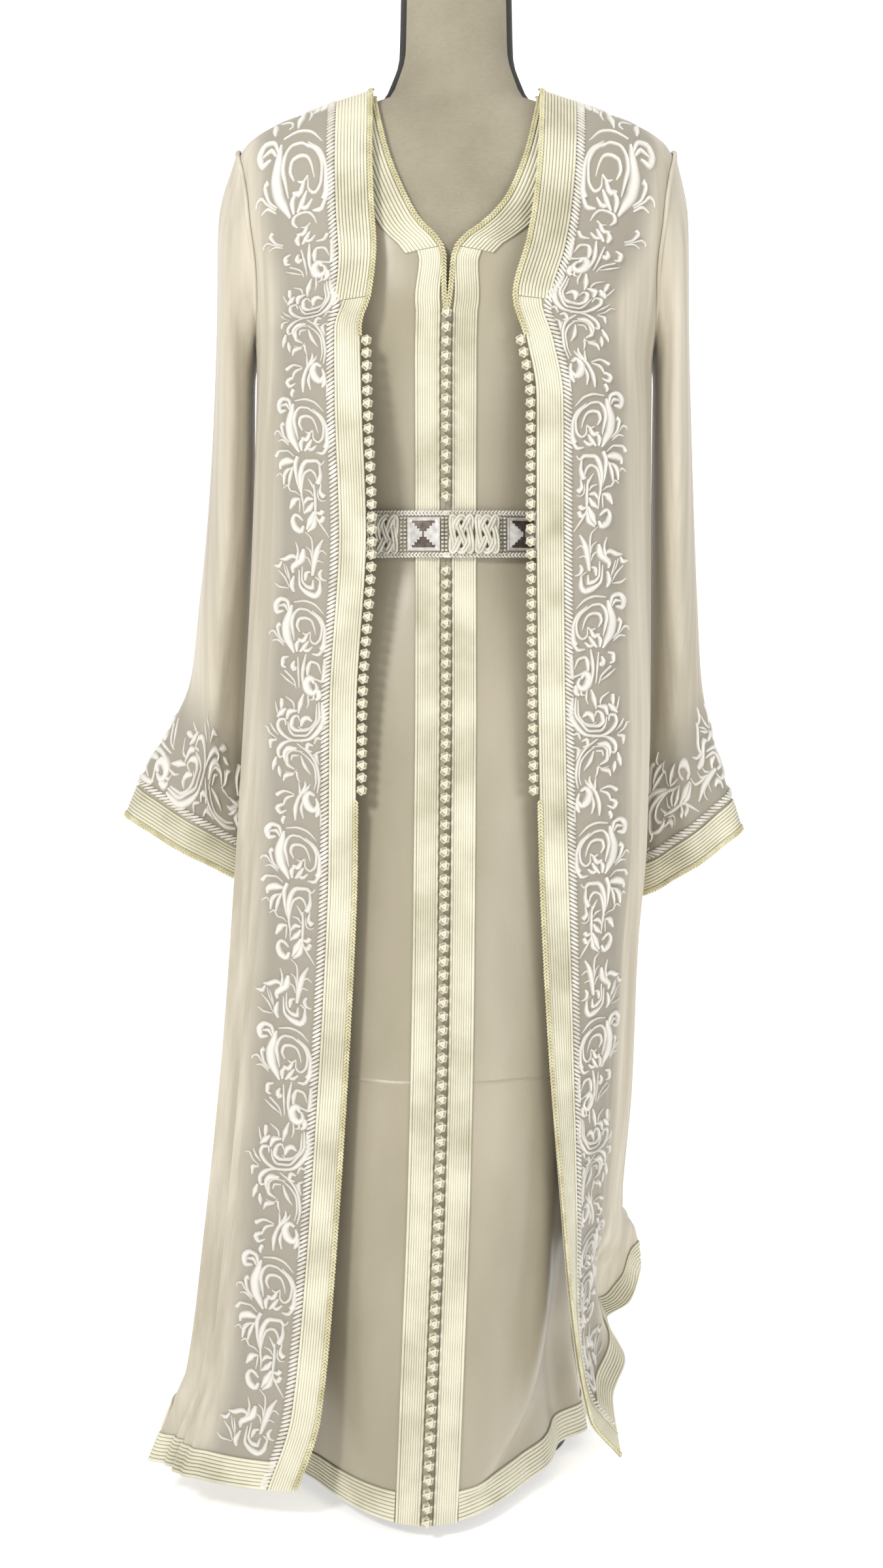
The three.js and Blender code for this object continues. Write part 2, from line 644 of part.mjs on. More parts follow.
// A grid of points on a layer, row by row, with the normal at each
class Panel {
  constructor(spots) {
    this.spots = spots;
    this.lastRow = spots.length - 1;
    this.lastColumn = spots[0].length - 1;
  }

  // A point between the rows and columns, moved out from the cloth's inner face
  at(row, column, lift) {
    const i = Math.min(this.lastRow - 1, Math.floor(row));
    const j = Math.min(this.lastColumn - 1, Math.floor(column));
    const corner = (di, dj) => {
      const { point, normal } = this.spots[i + di][j + dj];
      return point.clone().addScaledVector(normal, lift);
    };
    const upper = corner(0, 0).lerp(corner(0, 1), column - j);
    return row === i ? upper : upper.lerp(corner(1, 0).lerp(corner(1, 1), column - j), row - i);
  }

  // How far a cell's flat triangles may stand out from the even surface through its corners
  bulge(row, column) {
    let most = 0;
    for (const i of [Math.ceil(row) - 1, Math.floor(row)]) {
      for (const j of [Math.ceil(column) - 1, Math.floor(column)]) {
        if (i < 0 || j < 0 || i >= this.lastRow || j >= this.lastColumn) continue;
        const twist = this.spots[i][j].point.clone().add(this.spots[i + 1][j + 1].point);
        twist.sub(this.spots[i][j + 1].point).sub(this.spots[i + 1][j].point);
        most = Math.max(most, Math.abs(twist.dot(this.spots[i][j].normal)));
      }
    }
    return most;
  }

  // The column that lies a distance along a row from its start
  columnAt(row, distance) {
    let left = distance;
    for (let j = 0; j < this.lastColumn; j += 1) {
      const length = this.at(row, j, 0).distanceTo(this.at(row, j + 1, 0));
      if (left <= length) return j + left / length;
      left -= length;
    }
    return this.lastColumn;
  }

  // The cloth itself, between the inner face and one thickness out
  cloth() {
    const cells = gridCells(this.lastRow, this.lastColumn);
    return sheetSolid(faceOf(this.spots, CLOTH), faceOf(this.spots, 0), cells);
  }

  // A band that runs down the rows, beside the front or neck edge
  downBand(rows, edgeAt, width, outline) {
    const sections = rows.map((row) =>
      bandSection(outline, (share, rise) => {
        const column = this.columnAt(row, edgeAt(row) + share * width);
        return this.at(row, column, this.seat(row, column) + rise);
      }),
    );
    return loftSolid(sections, { face: outline.length });
  }

  // A band that runs across the columns, between two rows
  acrossBand(columns, top, bottom, outline) {
    const sections = columns.map((column) =>
      bandSection(outline, (share, rise) => {
        const row = lerp(top, bottom, share);
        return this.at(row, column, this.seat(row, column) + rise);
      }),
    );
    return loftSolid(sections, { face: outline.length });
  }

  // The lift at which a band lies clear of the cloth
  seat(row, column) {
    return CLOTH + SEAM + this.bulge(row, column);
  }
}

// A front panel: each row runs from the front or neck edge to the side or armhole
function frontGrid(layer, side) {
  const columns = layer.columns;
  return new Panel(
    layer.rows.map((row) => {
      const start = row.edge >= layer.ridge ? 90 - SEAM_TURN : layer.edgeTurn(side, row.edge);
      const end = sideTurn(layer, row.side, -1);
      return Array.from({ length: columns + 1 }, (_, j) =>
        spot(layer, side, lerp(start, end, j / columns), lerp(row.edge, row.side, j / columns)),
      );
    }),
  );
}

// The back in one piece: each row runs from the left side over the centre back to the right side
function backGrid(layer) {
  const columns = layer.backColumns;
  return new Panel(
    layer.backRows.map((row) => {
      const end = row.side >= layer.tip ? 90 + SEAM_TURN : sideTurn(layer, row.side, 1);
      const half = (side) =>
        Array.from({ length: columns + 1 }, (_, j) => {
          const share = j / columns;
          return spot(layer, side, lerp(end, 180, share), lerp(row.side, row.edge, smoothstep(share)));
        });
      return [...half("left"), ...half("right").slice(0, -1).reverse()];
    }),
  );
}

function spot(layer, side, turn, z) {
  return { point: layer.point(side, turn, z), normal: outward(layer, side, turn, z) };
}

// Every spot of a grid, moved out from the cloth's inner face
function faceOf(spots, lift) {
  return spots.flat().map(({ point, normal }) => point.clone().addScaledVector(normal, lift));
}

function gridCells(rows, columns, at = (i, j) => i * (columns + 1) + j) {
  const cells = [];
  for (let i = 0; i < rows; i += 1) {
    for (let j = 0; j < columns; j += 1) {
      cells.push([at(i, j), at(i, j + 1), at(i + 1, j + 1), at(i + 1, j)]);
    }
  }
  return cells;
}

function range(first, last) {
  return Array.from({ length: last - first + 1 }, (_, i) => first + i);
}

// Heights of a braid's outer face: ribs that rise and fall, or one flat web between two raised edges
function ribbed(ribs) {
  return Array.from({ length: ribs * 2 + 1 }, (_, i) => ({
    share: i / (ribs * 2),
    rise: i % 2 ? BRAID + RIB : BRAID,
  }));
}
const EDGED = [
  { share: 0, rise: BRAID + RIB },
  { share: 0.14, rise: BRAID + RIB },
  { share: 0.2, rise: BRAID },
  { share: 0.8, rise: BRAID },
  { share: 0.86, rise: BRAID + RIB },
  { share: 1, rise: BRAID + RIB },
];
const UNDERSIDE = [1, 0.5, 0];

// The closed outline across a band, from a function of the share across and the rise over its seat
function bandSection(outline, at) {
  return [...outline.map(({ share, rise }) => at(share, rise)), ...UNDERSIDE.map((share) => at(share, 0))];
}

// A closed solid from matching outer and inner points of a sheet and its four-sided cells
function sheetSolid(outer, inner, cells) {
  const count = outer.length;
  const positions = [...outer, ...inner].flatMap((p) => [p.x, p.y, p.z]);
  const index = [];
  const rims = new Map();
  for (const [a, b, c, d] of cells) {
    index.push(a, b, c, a, c, d);
    index.push(a + count, c + count, b + count, a + count, d + count, c + count);
    for (const [from, to] of [[a, b], [b, c], [c, d], [d, a]]) {
      const back = `${to},${from}`;
      if (rims.has(back)) rims.delete(back);
      else rims.set(`${from},${to}`, [from, to]);
    }
  }
  for (const [from, to] of rims.values()) {
    index.push(to, from, from + count, to, from + count, to + count);
  }
  return solid(positions, index);
}

// A closed solid lofted through sections that each list the same number of points.
// "face" counts the points of a section's outer side where it is a thin band, for its ends.
function loftSolid(sections, { closed = false, face = 0 } = {}) {
  const sides = sections[0].length;
  const positions = sections.flat().flatMap((p) => [p.x, p.y, p.z]);
  const index = [];
  const spans = closed ? sections.length : sections.length - 1;
  for (let i = 0; i < spans; i += 1) {
    const next = (i + 1) % sections.length;
    for (let j = 0; j < sides; j += 1) {
      const k = (j + 1) % sides;
      index.push(i * sides + j, i * sides + k, next * sides + k);
      index.push(i * sides + j, next * sides + k, next * sides + j);
    }
  }
  if (!closed) {
    const last = (sections.length - 1) * sides;
    for (const [p, q, r] of endFaces(sides, face)) {
      index.push(p, r, q);
      index.push(last + p, last + q, last + r);
    }
  }
  return solid(positions, index);
}

// Triangles over an end: a fan where it is round, or a ladder between the two long sides of a band
function endFaces(sides, face) {
  const faces = [];
  if (!face) {
    for (let j = 1; j + 1 < sides; j += 1) faces.push([0, j, j + 1]);
    return faces;
  }
  const tops = face - 1;
  const bottoms = sides - face - 1;
  let i = 0;
  let j = 0;
  while (i < tops || j < bottoms) {
    const bottom = sides - 1 - j;
    if (j === bottoms || (i < tops && (i + 1) / tops <= (j + 1) / bottoms)) {
      faces.push([i, i + 1, bottom]);
      i += 1;
    } else {
      faces.push([i, bottom - 1, bottom]);
      j += 1;
    }
  }
  return faces;
}

function solid(positions, index) {
  const geometry = new THREE.BufferGeometry();
  geometry.setAttribute("position", new THREE.Float32BufferAttribute(positions, 3));
  geometry.setIndex(facingOut(positions, index));
  geometry.computeVertexNormals();
  return geometry;
}

// Turns every face round if the solid's volume comes out negative
function facingOut(positions, index) {
  const corner = (i) => new THREE.Vector3().fromArray(positions, index[i] * 3);
  let volume = 0;
  for (let i = 0; i < index.length; i += 3) volume += corner(i).dot(corner(i + 1).cross(corner(i + 2)));
  if (volume > 0) return index;
  return index.map((_, i) => index[i - (i % 3) + [0, 2, 1][i % 3]]);
}

function add(name, geometry, colour) {
  const mesh = new THREE.Mesh(geometry, new THREE.MeshStandardMaterial(COLOURS[colour]));
  mesh.name = name;
  takchita.add(mesh);
}

// The dress form: a linen front, a black back, a neck cap, a pole and a round base
function buildForm() {
  const turns = Array.from({ length: FORM_SIDES }, (_, i) => -180 + (360 * i) / FORM_SIDES);
  const onLinen = turns.filter((t) => Math.abs(t) < LINEN_TURN - LINEN_TRIM);
  const frontTurns = [-LINEN_TURN, ...onLinen, LINEN_TURN];
  const backTurns = [
    LINEN_TURN,
    ...turns.filter((t) => t > LINEN_TURN + LINEN_TRIM),
    ...turns.filter((t) => t < -LINEN_TURN - LINEN_TRIM),
    -LINEN_TURN,
  ];
  const half = (list, gap) =>
    FORM_RINGS.map(({ z }) => list.map((turn) => formPoint(turn, z).add(new THREE.Vector3(0, gap, 0))));
  add("form_linen_front", loftSolid(half(frontTurns, -SEAM / 2)), "linen");
  add("form_black_back", loftSolid(half(backTurns, SEAM / 2)), "black");
  const top = FORM_RINGS.at(-1);
  const cap = new THREE.CylinderGeometry(top.half - NECK_CAP_TAPER, top.half, NECK_CAP_THICK, FORM_SIDES);
  cap.rotateX(Math.PI / 2);
  cap.translate(0, (top.back - top.front) / 2, top.z + SEAM + NECK_CAP_THICK / 2);
  add("form_neck_cap", cap, "black");

  const bottom = FORM_RINGS[0].z - SEAM;
  const foot = HUB_TOP + SEAM;
  const pole = new THREE.CylinderGeometry(POLE_RADIUS, POLE_RADIUS, bottom - foot, POLE_SIDES);
  pole.rotateX(Math.PI / 2);
  pole.translate(0, 0, (bottom + foot) / 2);
  add("form_pole", pole, "metal");

  const outline = BASE_OUTLINE.map(({ radius, height }) => new THREE.Vector2(radius, height));
  const base = new THREE.LatheGeometry(outline, BASE_SIDES);
  base.rotateX(Math.PI / 2);
  add("form_base", base, "metal");
}

// A string of ball buttons along a list of centres, each with one corner towards the cloth
function buttonString(centres, toCloth) {
  const ring = (centre, radius, ahead) => {
    const side = toCloth.clone();
    side.addScaledVector(ahead, -side.dot(ahead)).normalize();
    const up = ahead.clone().cross(side);
    return Array.from({ length: BUTTON_SIDES }, (_, i) => {
      const angle = (2 * Math.PI * i) / BUTTON_SIDES;
      return centre
        .clone()
        .addScaledVector(side, radius * Math.cos(angle))
        .addScaledVector(up, radius * Math.sin(angle));
    });
  };
  const half = BUTTON_PITCH / 2;
  const sections = centres.flatMap((centre, i) => {
    const before = centres[Math.max(0, i - 1)];
    const after = centres[Math.min(centres.length - 1, i + 1)];
    const ahead = after.clone().sub(before).normalize();
    const stem = ring(centre.clone().addScaledVector(ahead, half), STEM_RADIUS, ahead);
    const first = ring(centre.clone().addScaledVector(ahead, -half), STEM_RADIUS, ahead);
    const ball = ring(centre, BUTTON_RADIUS, ahead);
    return i ? [ball, stem] : [first, ball, stem];
  });
  return loftSolid(sections);
}

// Button centres a pitch apart on a line that is given by its height
function spacedCentres(line, top, bottom) {
  const centres = [];
  let z = top;
  while (z > bottom) {
    const here = line(z);
    centres.push(here);
    z -= BUTTON_PITCH / line(z - 1).distanceTo(here);
  }
  return centres;
}

// The row, with its fraction, at which a panel's first column passes a height
function rowAtHeight(panel, z) {
  const heights = panel.spots.map((row) => row[0].point.z);
  const i = Math.max(0, heights.slice(1).findIndex((height) => height <= z));
  return i + (heights[i] - z) / (heights[i] - heights[i + 1]);
}

function buildUnderDress(panels, back) {
  const slit = (row) => (row < UNDER_SLIT_ROW ? 0 : HALF_BUTTON_LANE);
  for (const side of SIDES) {
    const panel = panels[side];
    const neckRows = range(0, UNDER_MITRE_ROW);
    const frontRows = [UNDER_MITRE_ROW + MITRE_GAP, ...range(UNDER_MITRE_ROW + 1, panel.lastRow)];
    add(`under_front_${side}`, panel.cloth(), "satin");
    const neckBand = panel.downBand(neckRows, atEdge, NECK_BAND, ribbed(RIBS.underNeck));
    add(`under_neck_band_${side}`, neckBand, "braid");
    add(`under_placket_band_${side}`, panel.downBand(frontRows, slit, PLACKET_BAND, EDGED), "braid");
    add(`under_hem_band_${side}`, hemBand(panel, HALF_BUTTON_LANE + PLACKET_BAND), "braid");
  }
  add("under_back", back.cloth(), "satin");
  addBackBands("under", back, RIBS.underNeckBack);

  const line = (z) => {
    const row = rowAtHeight(panels.right, z);
    const ahead = panels.right.at(row, 0, CLOTH + SEAM + BUTTON_RADIUS);
    return ahead.lerp(panels.left.at(row, 0, CLOTH + SEAM + BUTTON_RADIUS), 0.5);
  };
  const beltTop = BELT_Z + BELT_HEIGHT / 2 + BUTTON_PITCH;
  const beltFoot = BELT_Z - BELT_HEIGHT / 2 - BUTTON_PITCH;
  const stop = BUTTON_PITCH / 2;
  const upper = spacedCentres(line, UNDER_SLIT_Z - stop, beltTop - stop);
  const lower = spacedCentres(line, beltFoot, UNDER_HEM_Z + stop);
  add("under_buttons_upper", buttonString(upper, new THREE.Vector3(0, 1, 0)), "button");
  add("under_buttons_lower", buttonString(lower, new THREE.Vector3(0, 1, 0)), "button");
}

function atEdge() {
  return 0;
}

// The hem band of a front panel starts beyond the band down its edge
function hemBand(panel, past) {
  const rows = [panel.lastRow - 1, panel.lastRow];
  const first = Math.max(...rows.map((row) => panel.columnAt(row, past + BAND_GAP)));
  const columns = [first, ...range(Math.floor(first) + 1, panel.lastColumn)];
  return panel.acrossBand(columns, rows[0] + MITRE_GAP, rows[1], ribbed(RIBS.hem));
}

// The bands across a back panel's neck and hem
function addBackBands(layer, back, neckRibs) {
  const across = range(0, back.lastColumn);
  const hemTop = back.lastRow - 1 + MITRE_GAP;
  add(`${layer}_neck_band_back`, back.acrossBand(across, 0, 1 - MITRE_GAP, ribbed(neckRibs)), "braid");
  add(`${layer}_hem_band_back`, back.acrossBand(across, hemTop, back.lastRow, ribbed(RIBS.hem)), "braid");
}

function buildCoat() {
  for (const side of SIDES) {
    const panel = frontGrid(coat, side);
    const neckRows = range(0, COAT_MITRE_ROW);
    const frontRows = [COAT_MITRE_ROW + MITRE_GAP, ...range(COAT_MITRE_ROW + 1, panel.lastRow)];
    add(`coat_front_${side}`, panel.cloth(), "chiffon");
    const neckBand = panel.downBand(neckRows, atEdge, NECK_BAND, ribbed(RIBS.coatNeck));
    add(`coat_neck_band_${side}`, neckBand, "braid");
    add(`coat_front_band_${side}`, panel.downBand(frontRows, atEdge, FRONT_BAND, EDGED), "braid");
    add(`coat_hem_band_${side}`, hemBand(panel, FRONT_BAND), "braid");
    const toCloth = new THREE.Vector3(SIDE_SIGN[side], 0, 0);
    const line = (z) => {
      const edge = panel.at(rowAtHeight(panel, z), 0, CLOTH);
      return edge.addScaledVector(toCloth, -BUTTON_RADIUS - SEAM);
    };
    const centres = spacedCentres(line, COAT_BUTTONS.top, COAT_BUTTONS.bottom);
    add(`coat_buttons_${side}`, buttonString(centres, toCloth), "button");
    buildSleeve(side);
  }
  const back = backGrid(coat);
  add("coat_back", back.cloth(), "chiffon");
  addBackBands("coat", back, RIBS.coatNeck);
}

// A sleeve ring from its table row, with upright folds that deepen towards the cuff
function sleeveRing(side, row, down) {
  const outer = new THREE.Vector3(SIDE_SIGN[side] * row.outX, row.y, row.outZ);
  const inner = new THREE.Vector3(SIDE_SIGN[side] * row.inX, row.y, row.inZ);
  const middle = outer.clone().lerp(inner, 0.5);
  const half = outer.sub(middle);
  return (angle) => {
    const wave = Math.sin(FOLDS.sleeve.waves * angle) * Math.abs(Math.sin(angle));
    const fold = FOLDS.sleeve.depth * down * wave;
    const depth = new THREE.Vector3(0, -Math.sin(angle) * (row.half + fold), 0);
    return middle.clone().addScaledVector(half, Math.cos(angle)).add(depth);
  };
}

// The sleeve's first ring stands on the coat round the armhole
function armholeRing(side) {
  const middle = (coat.tip + coat.underarm) / 2;
  const half = (coat.tip - coat.underarm) / 2;
  return (angle) => {
    const face = Math.sin(angle) >= 0 ? -1 : 1;
    const z = middle + half * Math.cos(angle) * ARMHOLE_FIT;
    const turn = sideTurn(coat, z, face) + face * ARMHOLE_LAP;
    return coat.point(side, turn, z).addScaledVector(outward(coat, side, turn, z), CLOTH + ARMHOLE_EASE);
  };
}

function buildSleeve(side) {
  const table = SLEEVES[side];
  const rings = [armholeRing(side), ...table.map((row, i) => sleeveRing(side, row, i / table.length))];
  const points = rings.map((ring) =>
    Array.from({ length: SLEEVE_SIDES }, (_, j) => ring((2 * Math.PI * j) / SLEEVE_SIDES)),
  );
  const wrap = (j) => (j + SLEEVE_SIDES) % SLEEVE_SIDES;
  const spots = points.map((ring, i) =>
    ring.map((point, j) => {
      const along = points[Math.min(i + 1, rings.length - 1)][j].clone().sub(points[Math.max(i - 1, 0)][j]);
      const round = ring[wrap(j + 1)].clone().sub(ring[wrap(j - 1)]);
      return { point, normal: round.cross(along).multiplyScalar(SIDE_SIGN[side]).normalize() };
    }),
  );
  const cells = gridCells(rings.length - 1, SLEEVE_SIDES, (i, j) => i * SLEEVE_SIDES + wrap(j));
  add(`coat_sleeve_${side}`, sheetSolid(faceOf(spots, CLOTH), faceOf(spots, 0), cells), "chiffon");

  const sleeve = new Panel(spots.map((ring) => [...ring, ring[0]]));
  const cuffTop = sleeve.lastRow - 1;
  const outline = ribbed(RIBS.cuff);
  const sections = range(0, SLEEVE_SIDES - 1).map((column) =>
    bandSection(outline, (share, rise) => {
      const row = lerp(cuffTop, sleeve.lastRow, share);
      return sleeve.at(row, column, sleeve.seat(row, column) + rise);
    }),
  );
  add(`coat_cuff_band_${side}`, loftSolid(sections, { closed: true }), "braid");
}

// The belt: a strap round the waist that carries raised plaques and knotted pads in turn
function buildBelt(panels, back) {
  const low = BELT_Z - BELT_HEIGHT / 2;
  const high = BELT_Z + BELT_HEIGHT / 2;
  const around = [
    ...range(0, panels.right.lastColumn).map((j) => [panels.right, j]),
    ...range(0, back.lastColumn).map((j) => [back, back.lastColumn - j]),
    ...range(0, panels.left.lastColumn).map((j) => [panels.left, panels.left.lastColumn - j]),
  ];
  const onWaist = ([panel, column], z, lift) => {
    return panel.at(rowAtHeight(panel, z), column, BELT_SEAT + lift).setZ(z);
  };
  const strap = around.map((place) => [
    onWaist(place, low, 0),
    onWaist(place, high, 0),
    onWaist(place, high, BELT_STRAP),
    onWaist(place, low, BELT_STRAP),
  ]);
  add("belt_strap", loftSolid(strap, { closed: true }), "belt");

  const ring = around.map((place) => onWaist(place, BELT_Z, BELT_STRAP));
  const flat = ring.map((p, i) => p.distanceTo(ring[(i + 1) % ring.length]));
  const total = flat.reduce((sum, length) => sum + length, 0);
  const onRing = (distance) => {
    let left = ((distance % total) + total) % total;
    let i = 0;
    while (left > flat[i]) {
      left -= flat[i];
      i += 1;
    }
    return ring[i].clone().lerp(ring[(i + 1) % ring.length], left / flat[i]);
  };
  const awayAt = (distance) => {
    const step = onRing(distance + AWAY_STEP).sub(onRing(distance - AWAY_STEP));
    return new THREE.Vector3(step.y, -step.x, 0).normalize();
  };
  const unit = total / BELT_UNITS;
  for (let n = 0; n < BELT_UNITS; n += 1) {
    const middle = FIRST_PLAQUE + n * unit;
    add(`belt_plaque_${n + 1}`, plaque(onRing(middle), awayAt(middle)), "silver");
    add(`belt_knot_${n + 1}`, knotPad(onRing, awayAt, middle + unit / 2), "belt");
  }
}

// A square plate with a low pyramid on it
function plaque(centre, away) {
  const up = new THREE.Vector3(0, 0, 1);
  const across = up.clone().cross(away);
  const corners = [[-1, -1], [1, -1], [1, 1], [-1, 1]];
  const square = (reach, rise) =>
    corners.map(([i, j]) => {
      const at = centre.clone().addScaledVector(away, PLAQUE_SEAT + rise);
      return at.addScaledVector(across, i * reach).addScaledVector(up, j * reach);
    });
  const half = PLAQUE_SIDE / 2;
  return loftSolid([square(half, 0), square(half, PLAQUE_EDGE), square(half * PLAQUE_TIP, PLAQUE_RISE)]);
}

// A crowned pad that stands for two knots of cord side by side
function knotPad(onRing, awayAt, middle) {
  const half = BELT_HEIGHT / 2 + KNOT_OVERHANG;
  const sections = KNOT_SWELL.map((swell, i) => {
    const distance = middle + (i / (KNOT_SWELL.length - 1) - 0.5) * KNOT_LENGTH;
    const base = onRing(distance);
    const away = awayAt(distance);
    const at = (share, rise) => {
      const foot = base.clone().setZ(BELT_Z + lerp(-half, half, share));
      return foot.addScaledVector(away, KNOT_SEAT + rise);
    };
    return [...KNOT_CROWN.map(({ share, rise }) => at(share, rise * swell)), at(1, 0), at(0, 0)];
  });
  return loftSolid(sections, { face: KNOT_CROWN.length });
}

const underPanels = { left: frontGrid(under, "left"), right: frontGrid(under, "right") };
const underBack = backGrid(under);
buildForm();
buildUnderDress(underPanels, underBack);
buildCoat();
buildBelt(underPanels, underBack);

export default takchita;
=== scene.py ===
"""A Moroccan two-layer dress, the takchita, worn by a limbless dress form on a round base.

Tables and sizes are in millimetres, +Z up, with the front facing -Y and the origin in the middle of the
base's underside. Meshes are written in metres. The left side is the side of -X, as seen from the front.
"""

from __future__ import annotations

import json
import logging
import math
from collections.abc import Callable, Sequence
from dataclasses import dataclass, field
from enum import Enum

import bpy
import numpy as np
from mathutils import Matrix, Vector

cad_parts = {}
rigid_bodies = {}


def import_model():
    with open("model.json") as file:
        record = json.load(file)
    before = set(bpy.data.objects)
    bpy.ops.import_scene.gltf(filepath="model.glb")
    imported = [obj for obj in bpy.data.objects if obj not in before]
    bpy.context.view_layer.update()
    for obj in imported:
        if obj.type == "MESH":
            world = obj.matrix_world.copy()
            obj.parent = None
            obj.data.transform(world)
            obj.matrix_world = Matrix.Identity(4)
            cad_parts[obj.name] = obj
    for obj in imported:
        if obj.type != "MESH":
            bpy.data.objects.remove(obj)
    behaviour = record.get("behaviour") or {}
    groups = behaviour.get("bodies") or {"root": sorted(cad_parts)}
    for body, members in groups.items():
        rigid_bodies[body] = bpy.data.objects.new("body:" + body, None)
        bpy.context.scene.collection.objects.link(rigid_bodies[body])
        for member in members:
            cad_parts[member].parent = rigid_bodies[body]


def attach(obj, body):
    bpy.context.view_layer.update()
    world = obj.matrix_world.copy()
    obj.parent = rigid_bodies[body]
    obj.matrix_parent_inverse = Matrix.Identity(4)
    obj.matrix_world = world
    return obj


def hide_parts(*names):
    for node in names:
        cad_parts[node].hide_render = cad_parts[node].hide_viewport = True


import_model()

logging.basicConfig(level=logging.INFO, format="%(name)s: %(message)s")
LOG = logging.getLogger("takchita")
Array = np.ndarray
Material = bpy.types.Material
Piece = bpy.types.Object
Colour = tuple[int, int, int]
MM = 0.001

CLOTH = 1.2
SEAM = 0.3
SEAM_TURN = 0.12
BRAID = 1.2
RIB = 0.7
NECK_BAND = 37.0
FRONT_BAND = 27.0
PLACKET_BAND = 25.0
HALF_BUTTON_LANE = 5.6
HEM_BAND = 30.0
HEM_REACH = 60.0
SEAM_GAP = 0.6
BUTTON_RADIUS = 5.4
BUTTON_UNEVENNESS = 0.02
BELT_Z = 975.0
BELT_HEIGHT = 44.0
BELT_STRAP = 2.4


class Side(Enum):
    """A side of the dress, seen from the front, with the sign of its X."""

    LEFT = -1
    RIGHT = 1

    @property
    def label(self) -> str:
        """The side's name in piece and node names."""
        return self.name.lower()


# ---- Curves and tables


def lerp(a: Array | float, b: Array | float, t: Array | float) -> Array | float:
    """The value a share t of the way from a to b."""
    return a + (b - a) * t


def smoothstep(t: Array | float) -> Array:
    """An even rise from 0 to 1 while t goes from 0 to 1."""
    k = np.clip(t, 0.0, 1.0)
    return k * k * (3 - 2 * k)


class Profile:
    """A smooth curve through points. It never overshoots them."""

    def __init__(self, at: Sequence[float], values: Sequence[float]) -> None:
        """Sorts the points and works out the curve's slopes.

        Args:
            at: Where the points lie.
            values: The value at each point. It may be an array of columns.
        """
        order = np.argsort(at)
        self.x = np.asarray(at, float)[order]
        self.y = np.asarray(values, float)[order]
        width = np.diff(self.x).reshape(-1, *[1] * (self.y.ndim - 1))
        slope = np.diff(self.y, axis=0) / width
        before, after = slope[:-1], slope[1:]
        total = np.where(before + after == 0, 1.0, before + after)
        inner = np.where(before * after <= 0, 0.0, 2 * before * after / total)
        self.tangent = np.concatenate([slope[:1], inner, slope[-1:]])

    def __call__(self, at: Array | float) -> Array:
        """The curve's value at one or more places."""
        t = np.clip(at, self.x[0], self.x[-1])
        i = np.clip(np.searchsorted(self.x, t, side="left") - 1, 0, len(self.x) - 2)
        width = self.x[i + 1] - self.x[i]
        k = (t - self.x[i]) / width
        if self.y.ndim > 1:
            width, k = np.asarray(width)[..., None], np.asarray(k)[..., None]
        return (
            self.y[i] * (1 + 2 * k) * (1 - k) ** 2
            + self.tangent[i] * width * k * (1 - k) ** 2
            + self.y[i + 1] * k * k * (3 - 2 * k)
            + self.tangent[i + 1] * width * k * k * (k - 1)
        )


class Table:
    """A table with named columns. The first column is the one that the others are read along."""

    def __init__(self, names: str, *rows: Sequence[float]) -> None:
        """Keeps the rows under their columns' names."""
        self.names = names.split()
        self.rows = np.array(rows, float)

    def column(self, name: str) -> Array:
        """One column as it stands."""
        return self.rows[:, self.names.index(name)]

    def curve(self, name: str) -> Profile:
        """A smooth curve of one column along the first."""
        return Profile(self.rows[:, 0], self.column(name))

    def curves(self) -> dict[str, Profile]:
        """A curve for each column but the first."""
        return {name: self.curve(name) for name in self.names[1:]}


FORM_RINGS = Table(
    "z half front back box",
    (732, 158, 98, 104, 1), (770, 172, 108, 115, 1), (830, 174, 110, 118, 1), (900, 160, 103, 108, 1),
    (975, 135, 91, 93, 1), (1020, 130, 88, 87, 1), (1080, 140, 96, 89, 1), (1150, 157, 113, 95, 0.97),
    (1200, 166, 119, 99, 0.93), (1250, 171, 114, 100, 0.88), (1300, 175, 102, 100, 0.85),
    (1343, 180, 90, 96, 0.83), (1367, 175, 82, 89, 0.83), (1382, 161, 75, 82, 0.85),
    (1393, 149, 70, 77, 0.87), (1406, 126, 65, 71, 0.9), (1415, 99, 61, 68, 0.95), (1422, 77, 58, 65, 1),
    (1440, 67, 57, 62, 1), (1465, 59, 54, 57, 1), (1532, 57, 52, 54, 1),
)
UNDER_RINGS = Table(
    "z centre front left right side back point box",
    (14, -30, 272, 216, 140, -22, 172, 2.6, 1), (60, -28, 266, 213, 134, -20, 170, 2.2, 1),
    (160, -24, 248, 208, 132, -16, 166, 1.5, 1), (320, -18, 218, 204, 144, -10, 160, 1.1, 1),
    (500, -14, 186, 198, 166, -5, 151, 1, 1), (680, -12, 152, 189, 176, 0, 140, 1, 1),
    (820, -11, 127, 182, 181, 0, 127, 1, 1), (900, -11, 111, 165, 165, 0, 114, 1, 1),
    (950, -11, 100, 145, 145, 0, 102, 1, 1), (1000, -11, 99, 144, 144, 0, 101, 1, 1),
    (1040, -11, 104, 147, 147, 0, 97, 1, 1), (1090, -11, 113, 157, 157, 0, 97, 1, 1),
    (1150, -11, 122, 169, 169, 0, 101, 1, 0.97), (1200, -10, 125, 174, 174, 0, 104, 1, 0.93),
    (1250, -8, 119, 176, 176, 0, 104, 1, 0.88), (1300, -4, 107, 181, 181, 0, 105, 1, 0.84),
)
UNDER_NECK = Table(
    "z x", (1196, 0.3), (1215, 2.6), (1250, 4.4), (1262, 10), (1285, 35), (1315, 54), (1360, 71),
    (1400, 80), (1423.5, 84),
)
UNDER_ARMHOLE = Table(
    "z half", (1176, 0), (1186, 13), (1212, 26), (1256, 33), (1305, 34), (1352, 29), (1386, 15), (1396, 0),
)
UNDER_LEVELS = (1120, 1060, 1000, 950, 890, 800, 660, 500, 340, 200, 100, 44, 14)
